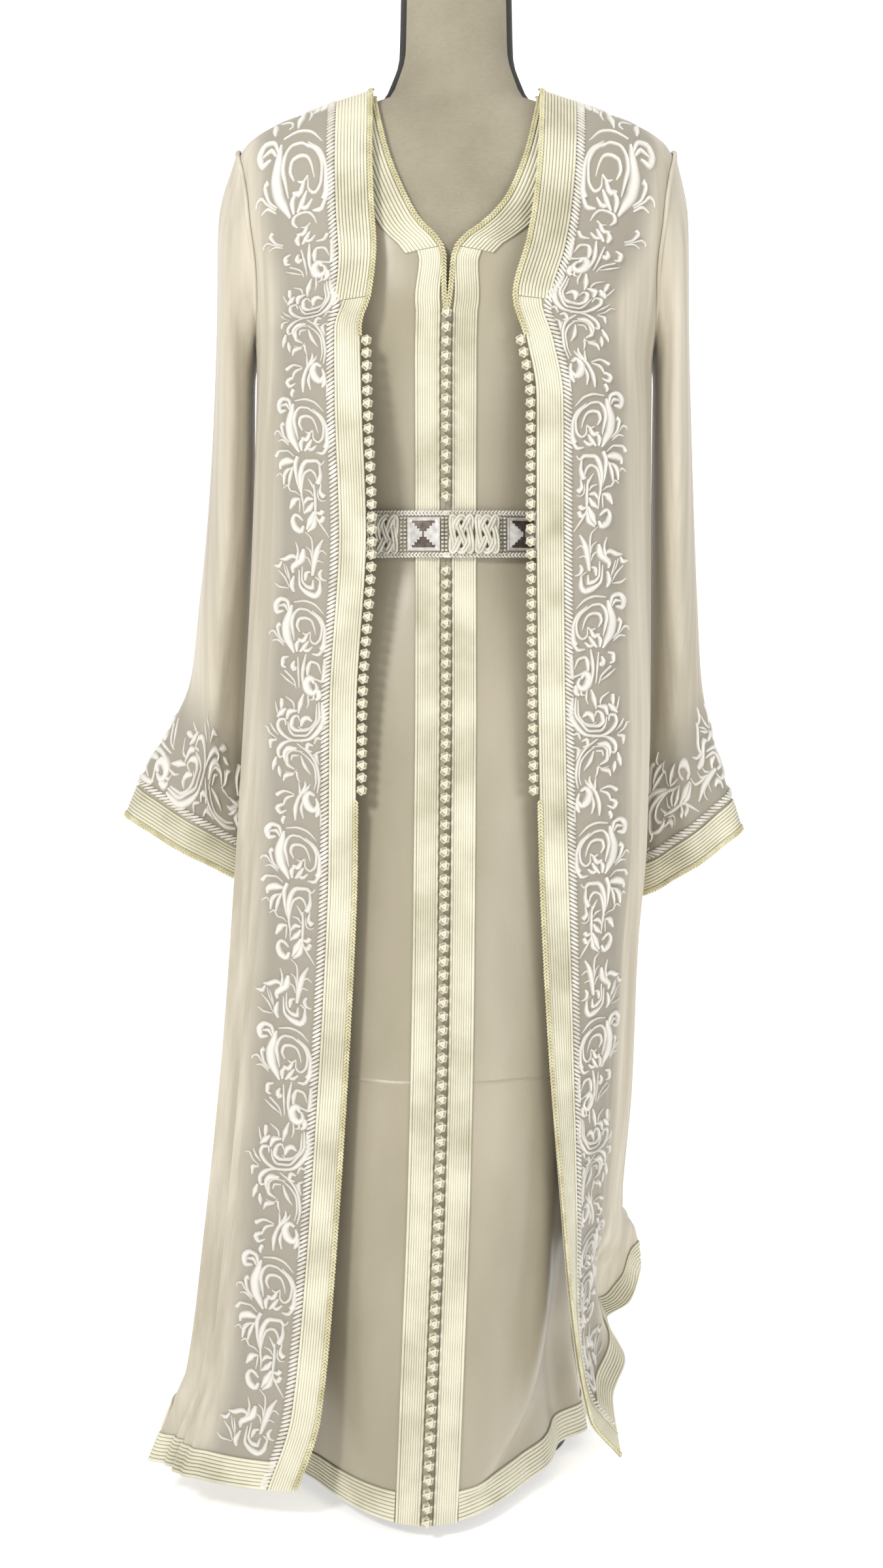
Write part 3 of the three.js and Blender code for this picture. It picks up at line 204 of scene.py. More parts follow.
UNDER_ROWS = Table(
    "edge side", (1423.5, 1396), (1413, 1386), (1390, 1352), (1345, 1305), (1300, 1256), (1278, 1234),
    (1258, 1212), (1226, 1186), (1196, 1176), *((z, z) for z in UNDER_LEVELS),
)
UNDER_BACK_ROWS = Table(
    "edge side", (1404, 1423.5), (1374, 1413), (1340, 1396), (1310, 1370), (1275, 1305), (1235, 1245),
    (1205, 1205), (1180, 1176), *((z, z) for z in UNDER_LEVELS),
)
COAT_DEPTH = Table(
    "z front back box",
    (40, 262, 214, 1), (300, 225, 192, 1), (600, 180, 167, 1), (850, 152, 147, 1), (1000, 146, 128, 0.98),
    (1150, 147, 116, 0.93), (1200, 144, 113, 0.9), (1250, 134, 113, 0.87), (1300, 119, 112, 0.83),
    (1342, 105, 108, 0.8), (1370, 95, 100, 0.8), (1382, 88, 94, 0.82), (1391.5, 83, 89, 0.84),
    (1405, 76, 86, 0.83), (1416, 71, 81, 0.85), (1425, 66.5, 77, 0.9), (1431.5, 63, 74, 0.95),
)
COAT_EDGE = {
    Side.LEFT: Table(
        "z x y",
        (40, 160, -238), (113, 136, -236), (252, 122, -220), (370, 114, -202), (510, 106, -182),
        (640, 101, -160), (797, 100, -145), (978, 90, -137), (1110, 94, -140), (1180, 95, -138),
        (1207, 86, -134), (1255, 81, -123), (1300, 84, -108), (1360, 86, -88), (1431.5, 86, 0),
    ),
    Side.RIGHT: Table(
        "z x y",
        (40, 165, -180), (84, 132, -186), (207, 112, -186), (300, 104, -182), (460, 92, -170),
        (690, 83, -152), (978, 79, -137), (1110, 78, -140), (1165, 68, -139), (1207, 56, -136),
        (1262, 70, -123), (1300, 77, -108), (1360, 83, -88), (1431.5, 86, 0),
    ),
}
COAT_SHOULDER = (
    (1200, 210, -6, 0), (1260, 220, 0, 0), (1310, 228, 0, 0), (1345, 229, 0, 0), (1370, 222, 0, 0),
    (1382, 212, 0, 0), (1391.5, 197, 0, 0), (1405, 163, 0, 0), (1416, 131, 0, 0), (1425, 104, 0, 0),
    (1431.5, 86, 0, 0),
)
COAT_SIDE = {
    Side.LEFT: Table(
        "z x y flat",
        (40, 308, -150, 0), (77, 293, -142, 0), (129, 271, -132, 0), (261, 255, -110, 0),
        (476, 236, -88, 0), (620, 228, -72, 0), (800, 219, -45, 0), (960, 211, -34, 0),
        (1145, 206, -15, 0), *COAT_SHOULDER,
    ),
    Side.RIGHT: Table(
        "z x y flat",
        (40, 174, -62, 1), (261, 175, -55, 0.9), (395, 186, -52, 0.6), (557, 191, -50, 0.2),
        (665, 197, -48, 0), (800, 201, -42, 0), (960, 201, -32, 0), (1145, 202, -15, 0), *COAT_SHOULDER,
    ),
}
COAT_ARMHOLE = Table(
    "z half", (1170, 0), (1184, 13), (1214, 21), (1258, 25), (1302, 25), (1342, 21), (1361, 12), (1370, 0),
)
COAT_LEVELS = (1110, 1040, 950, 830, 690, 540, 400, 290, 200, 130, 70, 40)
COAT_ROWS = Table(
    "edge side", (1431.5, 1370), (1421, 1361), (1398, 1342), (1352, 1302), (1302, 1258), (1252, 1214),
    (1207, 1184), (1180, 1170), *((z, z) for z in COAT_LEVELS),
)
COAT_BACK_ROWS = Table(
    "edge side", (1412, 1431.5), (1375, 1419), (1340, 1400), (1305, 1370), (1280, 1335), (1250, 1270),
    (1215, 1214), (1180, 1170), *((z, z) for z in COAT_LEVELS),
)
COAT_HEM_SHIFT = {
    Side.LEFT: Table("turn x y z", (0, 0, 0, -6), (45, 0, 0, -2), (90, 0, 0, 0), (180, 0, 0, 10)),
    Side.RIGHT: Table(
        "turn x y z",
        (0, 0, 0, 4), (15, -7, 24, 46), (30, 7, 42, 74), (45, -6, 48, 92), (58, -12, 54, 104),
        (71, 14, 52, 118), (84, 24, 44, 148), (100, 14, 26, 156), (130, 0, 0, 80), (180, 0, 0, 10),
    ),
}
HEM_SHIFT_TOP = 300.0
SLEEVES = {
    Side.LEFT: Table(
        "outX outZ inX inZ y half",
        (246, 1300, 213, 1128, 4, 60), (249, 1190, 214, 1060, 8, 68), (254, 1090, 215, 1000, 12, 68),
        (262, 990, 219, 925, 16, 62), (272, 905, 223, 850, 20, 54), (283, 823, 227, 770, 24, 46),
        (301, 780, 229, 716, 26, 41), (333, 727, 229, 654, 29, 35), (343, 704, 227, 630, 30, 32),
        (354, 677, 225, 604, 30, 30),
    ),
    Side.RIGHT: Table(
        "outX outZ inX inZ y half",
        (240, 1300, 209, 1128, 4, 60), (242, 1190, 209, 1060, 8, 68), (246, 1090, 209, 1000, 12, 68),
        (251, 990, 209, 925, 16, 62), (256, 905, 209, 850, 20, 54), (262, 823, 208, 762, 24, 46),
        (270, 780, 207, 708, 26, 41), (289, 716, 206, 642, 29, 36), (298, 690, 205, 617, 30, 33),
        (307, 662, 204, 590, 30, 31),
    ),
}
# Soft upright folds: the turns that they lie between, how many waves, their depth at the hem, and their top
COAT_FOLDS = (
    (42, 95, 2, 6, 1120), (95, 180, 2.5, 9, 1120), (44, 94, 5.5, 3.4, 1190), (97, 180, 8.5, 3.2, 1240),
)
UNDER_FOLDS = ((35, 95, 2, 7, 930), (95, 180, 2.5, 9, 930), (97, 180, 7.5, 2.5, 1000))


# ---- Layers of the dress


def quarter(
    start: tuple[Array, Array], side: tuple[Array, Array], turn: Array, box: Array, point: Array | float = 1.0
) -> tuple[Array, Array]:
    """One quarter of a section: an arc from the centre or edge point to the side point.

    Args:
        start: X and Y at the centre or edge.
        side: X and Y at the side.
        turn: The turn along the arc, from 0 to 90 degrees.
        box: How boxy the arc is. 1 is an ellipse.
        point: How far the start is drawn out to a ridge. 1 is none.

    Returns:
        X and Y on the arc.
    """
    angle = np.radians(turn)
    x = np.clip(np.sin(angle), 0, None) ** box
    y = np.clip(np.cos(angle), 0, None) ** (box * point)
    return lerp(start[0], side[0], x), side[1] + (start[1] - side[1]) * y


def fold_depth(folds: Sequence[Sequence[float]], turn: Array, z: Array, floor: float) -> Array:
    """How far the soft upright folds stand out.

    Args:
        folds: The folds' table.
        turn: The turn round the body.
        z: The height.
        floor: The hem's height, where the folds are deepest.

    Returns:
        The folds' depth, in or out.
    """
    depth = np.zeros(np.broadcast(turn, z).shape)
    for first, last, waves, deep, top in folds:
        across = np.clip((turn - first) / (last - first), 0, 1)
        fade = np.sqrt(np.clip(np.sin(math.pi * across), 0, None))
        fade = fade * smoothstep((top - z) / (top - floor))
        depth = depth + deep * fade * np.sin(2 * math.pi * waves * across)
    return depth


def folded(at: tuple[Array, Array], depth: Array, side_y: Array) -> tuple[Array, Array]:
    """A section's points, moved out along their own radius."""
    away = np.hypot(at[0], at[1] - side_y)
    away = np.where(away < 1e-9, 1.0, away)
    return at[0] + at[0] / away * depth, at[1] + (at[1] - side_y) / away * depth


def turn_at(share: Array, box: Array) -> Array:
    """The turn at which a section reaches a share of its half width."""
    return np.degrees(np.arcsin(np.clip(share, 0, 1) ** (1 / box)))


class Layer:
    """A layer of cloth round the body: points by side, turn and height. Turn 0 is the front, 180 the back."""

    ridge: float
    tip: float
    underarm: float
    armhole: Profile
    rows: Table
    back_rows: Table

    def point(self, side: Side, turn: Array, z: Array) -> Array:
        """The points of the layer's inner face at some turns and heights."""
        raise NotImplementedError

    def edge_turn(self, side: Side, z: Array) -> Array:
        """The turn of the front or neck edge at a height."""
        raise NotImplementedError

    def side_turn(self, z: Array, face: int) -> Array:
        """The turn at which a front (-1) or back (1) panel ends at its side seam or armhole."""
        line = lerp(95.0, 90.0, smoothstep((z - self.underarm) / (self.tip - self.underarm)))
        inside = (z > self.underarm) & (z < self.tip)
        return line + face * (np.where(inside, self.armhole(z), 0.0) + SEAM_TURN)

    def front(self, side: Side, step: float, columns: int) -> Cloth:
        """A front panel as a grid of points.

        Args:
            side: Which panel.
            step: About how far the rows lie apart.
            columns: How many cells lie across.

        Returns:
            The panel, whose rows run from the front or neck edge to the side or armhole.
        """
        edge, side_z, marks = fine_rows(self.rows, step)
        start = np.where(edge >= self.ridge, 90 - SEAM_TURN, self.edge_turn(side, edge))
        end = self.side_turn(side_z, -1)
        share = np.linspace(0, 1, columns + 1)
        turn = lerp(start[:, None], end[:, None], share)
        points = self.point(side, turn, lerp(edge[:, None], side_z[:, None], share))
        return Cloth.of(points, side.value, marks=marks)

    def back(self, step: float, columns: int) -> Cloth:
        """The back in one piece, from the left side over the centre back to the right side."""
        edge, side_z, marks = fine_rows(self.back_rows, step)
        end = np.where(side_z >= self.tip, 90 + SEAM_TURN, self.side_turn(side_z, 1))
        share = np.linspace(0, 1, columns + 1)
        turn = lerp(end[:, None], 180.0, share)
        z = lerp(side_z[:, None], edge[:, None], smoothstep(share))
        left, right = (self.point(side, turn, z) for side in Side)
        return Cloth.of(np.concatenate([left, right[:, -2::-1]], axis=1), -1, marks=marks)


def fine_rows(table: Table, step: float) -> tuple[Array, Array, tuple[int, ...]]:
    """More rows between those of a table.

    Args:
        table: The heights of each row's two ends.
        step: About how far the new rows lie apart.

    Returns:
        The heights at the two ends, and the new numbers of the table's rows.
    """
    first, second = table.rows[:, 0], table.rows[:, 1]
    gaps = np.maximum(np.abs(np.diff(first)), np.abs(np.diff(second)))
    counts = [math.ceil(gap / step) for gap in gaps]
    parts = [np.linspace(i, i + 1, count, endpoint=False) for i, count in enumerate(counts)]
    at = np.append(np.concatenate(parts), len(first) - 1.0)
    index = np.arange(len(first))
    marks = tuple(int(n) for n in np.cumsum([0, *counts]))
    return Profile(index, first)(at), Profile(index, second)(at), marks


class UnderDress(Layer):
    """The closed satin gown."""

    ridge, tip, underarm = 1423.5, 1396.0, 1176.0
    slit, hem, slant, slant_fade = 1196.0, 14.0, 1262.0, 60.0
    armhole, rows, back_rows = UNDER_ARMHOLE.curve("half"), UNDER_ROWS, UNDER_BACK_ROWS

    def __init__(self) -> None:
        """Joins the gown's own sections to those of the form's shoulders."""
        z, half, front, back, box = FORM_RINGS.rows.T
        use = (z > 1340) & (z < 1430)
        past = np.maximum(0, half - 120)
        wide, none = half + 2.4 + 0.09 * past, np.zeros(len(z))
        over = np.stack(
            [z + 2.6, none, front + 2.4, wide, wide, none, back + 2.4, none + 1, box - 0.0012 * past], axis=1
        )
        self.section = Table(" ".join(UNDER_RINGS.names), *UNDER_RINGS.rows, *over[use]).curves()
        self.neck = UNDER_NECK.curve("x")
        self.bulge_edge = Profile((14, 28, 48, 102, 200, 320, 470, 620), (-16, -11, 24, 70, 90, 98, 112, 128))

    def point(self, side: Side, turn: Array, z: Array) -> Array:
        """The gown's inner face at some turns and heights."""
        s = {name: curve(z) for name, curve in self.section.items()}
        side_at = (side.value * s[side.label], s["side"])
        front = quarter((s["centre"], -s["front"]), side_at, turn, s["box"], s["point"])
        back = quarter((0.0, s["back"]), side_at, 180 - turn, s["box"])
        at = tuple(np.where(turn <= 90, f, b) for f, b in zip(front, back))
        x, y = folded(at, fold_depth(UNDER_FOLDS, turn, z, self.hem), s["side"])
        if side is Side.RIGHT:
            x, y = self.recessed(x, y, turn, z)
        return np.stack(np.broadcast_arrays(x, y, z), axis=-1)

    def recessed(self, x: Array, y: Array, turn: Array, z: Array) -> tuple[Array, Array]:
        """Draws the skirt back behind the edge of its pointed front fold."""
        past = smoothstep((x - self.bulge_edge(z)) / 27.0) * smoothstep((100 - turn) / 25.0)
        low = smoothstep((560 - z) / 260.0) * smoothstep((z - 10) / 120.0)
        return x - 7 * past * low, y + 44 * past * low

    def edge_turn(self, side: Side, z: Array) -> Array:
        """The slit and the button line lie on the slanting centre line, and the neck edge leaves it."""
        s = {name: self.section[name](z) for name in (side.label, "centre", "box")}
        half = side.value * s[side.label] - s["centre"]
        open_by = np.where(z > self.slit, self.neck(z), SEAM / 2)
        from_centre = s["centre"] * smoothstep((z - self.slant) / self.slant_fade)
        return turn_at((side.value * open_by - from_centre) / half, s["box"])


class Coat(Layer):
    """The open chiffon coat. It follows the body above the bust and hangs free below."""

    ridge, tip, underarm, hem = 1431.5, 1370.0, 1170.0, 40.0
    bust, bust_fall = 1200.0, 140.0
    armhole, rows, back_rows = COAT_ARMHOLE.curve("half"), COAT_ROWS, COAT_BACK_ROWS

    def __init__(self) -> None:
        """Reads the coat's tables."""
        self.section = COAT_DEPTH.curves()
        self.edge = {side: COAT_EDGE[side].curves() for side in Side}
        self.fold = {side: COAT_SIDE[side].curves() for side in Side}
        self.shift = {side: COAT_HEM_SHIFT[side].curves() for side in Side}

    def edge_turn(self, side: Side, z: Array) -> Array:
        """The turn of the front edge at a height."""
        return turn_at(self.edge[side]["x"](z) / self.fold[side]["x"](z), self.section["box"](z))

    def point(self, side: Side, turn: Array, z: Array) -> Array:
        """The coat's inner face at some turns and heights."""
        turn, z = np.broadcast_arrays(turn, z)
        box, sign = self.section["box"](z), side.value
        fold = {name: curve(z) for name, curve in self.fold[side].items()}
        side_at = (sign * fold["x"], fold["y"])
        back = quarter((0.0, self.section["back"](z)), side_at, 180 - turn, box)
        edge_turn = self.edge_turn(side, z)
        share = np.clip((turn - edge_turn) / np.maximum(1e-6, 90 - edge_turn), 0, None)
        worn = quarter((0.0, -self.section["front"](z)), side_at, turn, box)
        edge_at = (sign * self.edge[side]["x"](z), self.edge[side]["y"](z))
        arc = quarter(edge_at, side_at, share * 90, np.ones_like(z))
        hung = [lerp(a, lerp(e, s, share), fold["flat"]) for a, e, s in zip(arc, edge_at, side_at)]
        free = smoothstep((self.bust - z) / self.bust_fall)
        ahead = turn <= 90
        at = tuple(np.where(ahead, lerp(w, h, free), b) for w, h, b in zip(worn, hung, back))
        hem_turn = np.where(ahead, share * 90, turn)
        calm = np.where(ahead, fold["flat"], 0.0)
        x, y = folded(at, fold_depth(COAT_FOLDS, hem_turn, z, self.hem) * (1 - calm), fold["y"])
        drop = smoothstep((HEM_SHIFT_TOP - z) / (HEM_SHIFT_TOP - self.hem))
        shift = {name: curve(hem_turn) for name, curve in self.shift[side].items()}
        return np.stack([x + sign * shift["x"] * drop, y + shift["y"] * drop, z + shift["z"] * drop], axis=-1)


# ---- Cloth, and places measured on it


def unit(vectors: Array) -> Array:
    """Vectors of length 1."""
    length = np.linalg.norm(vectors, axis=-1, keepdims=True)
    return vectors / np.where(length < 1e-9, 1.0, length)


def pairs(a: Array, b: Array) -> Array:
    """Two arrays as one of pairs, over the shape that they have in common."""
    return np.stack(np.broadcast_arrays(a, b), axis=-1)


def gradient(points: Array, axis: int, closed: bool = False) -> Array:
    """Differences along one axis of a grid, which may be a closed ring."""
    if not closed:
        return np.gradient(points, axis=axis)
    return (np.roll(points, -1, axis=axis) - np.roll(points, 1, axis=axis)) / 2


def bilinear(grid: Array, i: Array, j: Array) -> Array:
    """Values of a grid at fractional rows and columns."""
    i0 = np.clip(np.floor(i).astype(int), 0, grid.shape[0] - 2)
    j0 = np.clip(np.floor(j).astype(int), 0, grid.shape[1] - 2)
    a, b = i - i0, j - j0
    if grid.ndim > 2:
        a, b = a[..., None], b[..., None]
    upper = lerp(grid[i0, j0], grid[i0, j0 + 1], b)
    return lerp(upper, lerp(grid[i0 + 1, j0], grid[i0 + 1, j0 + 1], b), a)


@dataclass
class Cloth:
    """A piece of cloth as a grid of points on its inner face, with the outward normal at each."""

    points: Array
    normals: Array
    closed: bool = False
    marks: tuple[int, ...] = ()

    @classmethod
    def of(cls, points: Array, sign: int, closed: bool = False, marks: tuple[int, ...] = ()) -> Cloth:
        """Works out the normals of a grid.

        Args:
            points: Rows down the cloth, columns across it.
            sign: 1 or -1, so that the normals point away from the body.
            closed: Whether the columns go all the way round.
            marks: The rows at which the rows of its table lie.

        Returns:
            The cloth.
        """
        across, down = gradient(points, 1, closed), gradient(points, 0)
        return cls(points, unit(np.cross(down, across)) * sign, closed, marks)

    def ringed(self) -> Cloth:
        """The same cloth with its first column again at the end, where it is a closed ring."""
        join = [np.concatenate([grid, grid[:, :1]], axis=1) for grid in (self.points, self.normals)]
        return Cloth(join[0], join[1])

    def turned(self, from_foot: bool = False) -> Cloth:
        """The same cloth with its columns as rows, measured in from its top or from its foot."""
        step = -1 if from_foot else 1
        return Cloth(self.points[::step].swapaxes(0, 1), self.normals[::step].swapaxes(0, 1))

    def area(self) -> float:
        """The cloth's area in square metres."""
        p = np.concatenate([self.points, self.points[:, :1]], axis=1) if self.closed else self.points
        one = np.cross(p[1:, :-1] - p[:-1, :-1], p[:-1, 1:] - p[:-1, :-1])
        two = np.cross(p[1:, :-1] - p[1:, 1:], p[:-1, 1:] - p[1:, 1:])
        return float((np.linalg.norm(one, axis=-1) + np.linalg.norm(two, axis=-1)).sum() / 2 * MM * MM)


class Strip:
    """Cloth measured from its first column: s runs along that edge and t runs in from it."""

    STEP = 1.0

    def __init__(self, cloth: Cloth, reach: float = 170.0) -> None:
        """Measures the cloth.

        Args:
            cloth: The cloth, whose first column is the edge.
            reach: How far in from the edge places are needed.
        """
        self.cloth = cloth
        along = np.linalg.norm(np.diff(cloth.points[:, 0], axis=0), axis=1)
        self.s = np.concatenate([[0.0], np.cumsum(along)])
        gaps = np.linalg.norm(np.diff(cloth.points, axis=1), axis=2)
        across = np.concatenate([np.zeros((len(gaps), 1)), np.cumsum(gaps, axis=1)], axis=1)
        places = np.arange(0, reach + self.STEP, self.STEP)
        columns = np.arange(cloth.points.shape[1])
        self.column = np.stack([np.interp(places, row, columns) for row in across])

    @property
    def length(self) -> float:
        """The edge's length."""
        return float(self.s[-1])

    def s_at_row(self, row: float) -> float:
        """The distance along the edge of a row of the cloth."""
        return float(np.interp(row, np.arange(len(self.s)), self.s))

    def s_at_height(self, z: float) -> float:
        """The distance along the edge at which it first passes a height on its way down."""
        heights = self.cloth.points[:, 0, 2]
        i = int(np.argmax(heights <= z))
        return float(np.interp(-z, -heights[i - 1 : i + 1], self.s[i - 1 : i + 1]))

    def at(self, s: Array, t: Array | float, lift: Array | float) -> tuple[Array, Array]:
        """Places on the cloth.

        Args:
            s: Distances along the edge.
            t: Distances in from the edge.
            lift: How far the places lie out from the inner face.

        Returns:
            The points, and the outward normals there.
        """
        s, t, lift = np.broadcast_arrays(s, t, lift)
        i = np.interp(s, self.s, np.arange(len(self.s)))
        j = bilinear(self.column, i, np.clip(t / self.STEP, 0, self.column.shape[1] - 1.001))
        normal = unit(bilinear(self.cloth.normals, i, j))
        return bilinear(self.cloth.points, i, j) + normal * lift[..., None], normal


# ---- Meshes


class MeshStock:
    """Gathers vertices, faces and UVs, and makes one mesh object of them."""

    def __init__(self) -> None:
        """Starts empty."""
        self.points: list[Array] = []
        self.faces: list[Array | list[tuple[int, ...]]] = []
        self.uvs: list[Array] = []
        self.count = 0

    def add(self, points: Array, faces: Array | list[tuple[int, ...]], uv: Array | None = None) -> None:
        """Adds a part.

        Args:
            points: Its vertices, in millimetres.
            faces: Its faces, by its own vertex numbers.
            uv: A pair for each vertex.
        """
        flat = points.reshape(-1, 3)
        offset = [tuple(int(v) + self.count for v in face) for face in faces]
        self.points.append(flat)
        self.faces.extend(offset)
        self.uvs.append(np.zeros((len(flat), 2)) if uv is None else uv.reshape(-1, 2))
        self.count += len(flat)

    def add_shell(self, cloth: Cloth, thickness: float, uv: Array) -> None:
        """Adds a cloth as a closed shell between its inner face and one thickness out."""
        outer, inner = cloth.points + cloth.normals * thickness, cloth.points
        rows, columns = outer.shape[:2]
        grid = np.arange(rows * columns).reshape(rows, columns)
        if cloth.closed:
            grid = np.concatenate([grid, grid[:, :1]], axis=1)
        out = np.stack([grid[:-1, :-1], grid[:-1, 1:], grid[1:, 1:], grid[1:, :-1]], axis=-1).reshape(-1, 4)
        if not faces_outward(outer.reshape(-1, 3), out[len(out) // 2], cloth.normals.reshape(-1, 3)):
            out = out[:, ::-1]
        back = out[:, ::-1] + rows * columns
        self.add(
            np.concatenate([outer.reshape(-1, 3), inner.reshape(-1, 3)]),
            [*out.tolist(), *back.tolist(), *rim(out, rows * columns)],
            np.concatenate([uv.reshape(-1, 2), uv.reshape(-1, 2)]),
        )

    def add_loft(self, sections: Array, uv: Array | None = None, closed: bool = False) -> None:
        """Adds a closed solid through sections that each list the same number of points round.

        Args:
            sections: Section by section, the points round it.
            uv: A pair for each point.
            closed: Whether the last section meets the first.
        """
        count, round_ = sections.shape[:2]
        grid = np.arange(count * round_).reshape(count, round_)
        grid = np.concatenate([grid, grid[:, :1]], axis=1)
        if closed:
            grid = np.concatenate([grid, grid[:1]], axis=0)
        quads = np.stack([grid[:-1, :-1], grid[:-1, 1:], grid[1:, 1:], grid[1:, :-1]], axis=-1).reshape(-1, 4)
        faces = quads.tolist()
        if not closed:
            faces += [list(range(round_))[::-1], list(range((count - 1) * round_, count * round_))]
        middle = count // 2 if count > 2 else 0
        axis = sections[min(middle + 1, count - 1)].mean(0) - sections[middle - 1 if middle else 0].mean(0)
        ring = sections[middle]
        spin = np.cross(ring, np.roll(ring, -1, axis=0)).sum(0)
        if spin @ axis < 0:
            faces = [face[::-1] for face in faces]
        self.add(sections, faces, uv)

    def add_tube(self, path: Array, radius: float, closed: bool = False, sides: int = 8) -> None:
        """Adds a round cord along a path."""
        ahead = unit(gradient(path[:, None], 0, closed)[:, 0])
        up = np.where(np.abs(ahead[:, 2:]) > 0.9, (0.0, 1.0, 0.0), (0.0, 0.0, 1.0))
        side = np.cross(ahead[0], up[0])
        sides_at = []
        for step in ahead:
            side = side - step * (side @ step)
            side = side / np.linalg.norm(side)
            sides_at.append(side)
        across = np.array(sides_at)
        other = np.cross(ahead, across)
        angle = np.linspace(0, 2 * math.pi, sides, endpoint=False)
        ring = across[:, None] * np.cos(angle)[:, None] + other[:, None] * np.sin(angle)[:, None]
        along = np.cumsum(np.linalg.norm(np.diff(path, axis=0, prepend=path[:1]), axis=1))
        self.add_loft(path[:, None] + ring * radius, pairs(along[:, None], angle / (2 * math.pi)), closed)

    def build(self, name: str, finish: Material, smooth: bool = True) -> Piece:
        """Makes the object.

        Args:
            name: The piece's name.
            finish: Its material.
            smooth: Whether its faces are shaded smooth.

        Returns:
            The object, at the origin, with its place in its mesh.
        """
        mesh = bpy.data.meshes.new(name)
        mesh.from_pydata((np.concatenate(self.points) * MM).tolist(), [], self.faces)
        layer = mesh.uv_layers.new(name="UVMap")
        corner = np.empty(len(mesh.loops), np.int32)
        mesh.loops.foreach_get("vertex_index", corner)
        layer.data.foreach_set("uv", np.concatenate(self.uvs)[corner].astype(np.float32).ravel())
        mesh.polygons.foreach_set("use_smooth", np.full(len(mesh.polygons), smooth))
        mesh.materials.append(finish)
        mesh.validate()
        mesh.update()
        if smooth:
            mesh.set_sharp_from_angle(angle=math.radians(55))
        piece = bpy.data.objects.new(name, mesh)
        bpy.context.scene.collection.objects.link(piece)
        return piece


def faces_outward(points: Array, face: Array, normals: Array) -> bool:
    """Whether a face is listed the way round that faces along the normals."""
    a, b, c = points[face[0]], points[face[1]], points[face[2]]
    return bool(np.cross(b - a, c - a) @ normals[face[0]] > 0)


def rim(quads: Array, count: int) -> list[list[int]]:
    """The faces that join a shell's outer face to its inner one round every open edge."""
    edges = np.concatenate([quads[:, [k, (k + 1) % 4]] for k in range(4)])
    width = int(edges.max()) + 1
    key, other = edges[:, 0] * width + edges[:, 1], edges[:, 1] * width + edges[:, 0]
    open_edges = edges[~np.isin(key, other)]
    return [[int(b), int(a), int(a) + count, int(b) + count] for a, b in open_edges]


def settle(piece: Piece, slot: str, *nodes: str) -> Piece:
    """Hangs a finished piece on the part.

    Args:
        piece: The piece, in place.
        slot: The record's material slot. It is not used.
        nodes: The CAD nodes that it stands for.

    Returns:
        The piece.
    """
    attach(piece, "root")
    if nodes:
        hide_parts(*nodes)
    LOG.info("%s: %d faces", piece.name, len(piece.data.polygons))
    return piece


# ---- Finishes


class Graph:
    """Builds one material's nodes round a Principled shader."""

    def __init__(self, name: str) -> None:
        """Makes an empty material."""
        self.material = bpy.data.materials.new(name)
        self.material.use_nodes = True
        self.tree = self.material.node_tree
        self.shader = self.tree.nodes["Principled BSDF"]

    def add(self, kind: str, inputs: dict[str | int, object] | None = None, **settings: object) -> bpy.types.Node:
        """Adds a node.

        Args:
            kind: The node's type, after "ShaderNode".
            inputs: Values or sockets by input name or number.
            settings: The node's own settings.

        Returns:
            The node.
        """
        node = self.tree.nodes.new("ShaderNode" + kind)
        for key, value in settings.items():
            setattr(node, key, value)
        for key, value in (inputs or {}).items():
            if isinstance(value, bpy.types.NodeSocket):
                self.tree.links.new(value, node.inputs[key])
            else:
                node.inputs[key].default_value = value
        return node

    def math(self, operation: str, a: object, b: object = 0.0) -> bpy.types.NodeSocket:
        """One step of arithmetic on sockets or numbers."""
        return self.add("Math", {0: a, 1: b}, operation=operation).outputs[0]

    def place(self) -> bpy.types.NodeSocket:
        """The Object coordinates, in metres."""
        return self.add("TexCoord").outputs["Object"]

    def uv(self) -> tuple[bpy.types.NodeSocket, bpy.types.NodeSocket]:
        """The piece's own U and V."""
        split = self.add("SeparateXYZ", {0: self.add("TexCoord").outputs["UV"]})
        return split.outputs[0], split.outputs[1]

    def noise(self, scale: float, detail: float, stretch: tuple = (1, 1, 1)) -> object:
        """Even noise on the Object coordinates.

        Args:
            scale: Its fineness per metre.
            detail: How many octaves it has.
            stretch: The scale along each axis.

        Returns:
            The noise's socket, from 0 to 1.
        """
        mapped = self.add("Mapping", {"Vector": self.place(), "Scale": stretch}).outputs[0]
        return self.add("TexNoise", {"Vector": mapped, "Scale": scale, "Detail": detail}).outputs[0]

    def tint(self, share: object, dark: tuple, light: tuple, low: float = 0.3, high: float = 0.7) -> object:
        """A colour between two as a socket goes from low to high."""
        ramp = self.add("ValToRGB", {0: share})
        ends = ramp.color_ramp.elements
        ends[0].position, ends[1].position = low, high
        ends[0].color, ends[1].color = (*linear(dark), 1), (*linear(light), 1)
        return ramp.outputs[0]

    def bump(self, height: object, strength: float, distance: float, under: object = None) -> object:
        """A bump from a height, over another bump.

        Args:
            height: The height's socket.
            strength: How strong it is.
            distance: Its depth in metres.
            under: The normal of the bump below it.

        Returns:
            The normal's socket.
        """
        inputs = {"Height": height, "Strength": strength, "Distance": distance}
        if under is not None:
            inputs["Normal"] = under
        return self.add("Bump", inputs).outputs[0]

    def finish(self, colour: object, normal: object, roughness: float, **constant: float) -> Material:
        """Sets the shader.

        Args:
            colour: The colour's socket.
            normal: The normal's socket.
            roughness: Its roughness.
            constant: Other values by the shader's input names, with _ for a space.

        Returns:
            The material.
        """
        links, inputs = self.tree.links, self.shader.inputs
        links.new(colour, inputs["Base Color"])
        if normal is not None:
            links.new(normal, inputs["Normal"])
        inputs["Roughness"].default_value = roughness
        for key, value in constant.items():
            inputs[key.replace("_", " ")].default_value = value
        return self.material


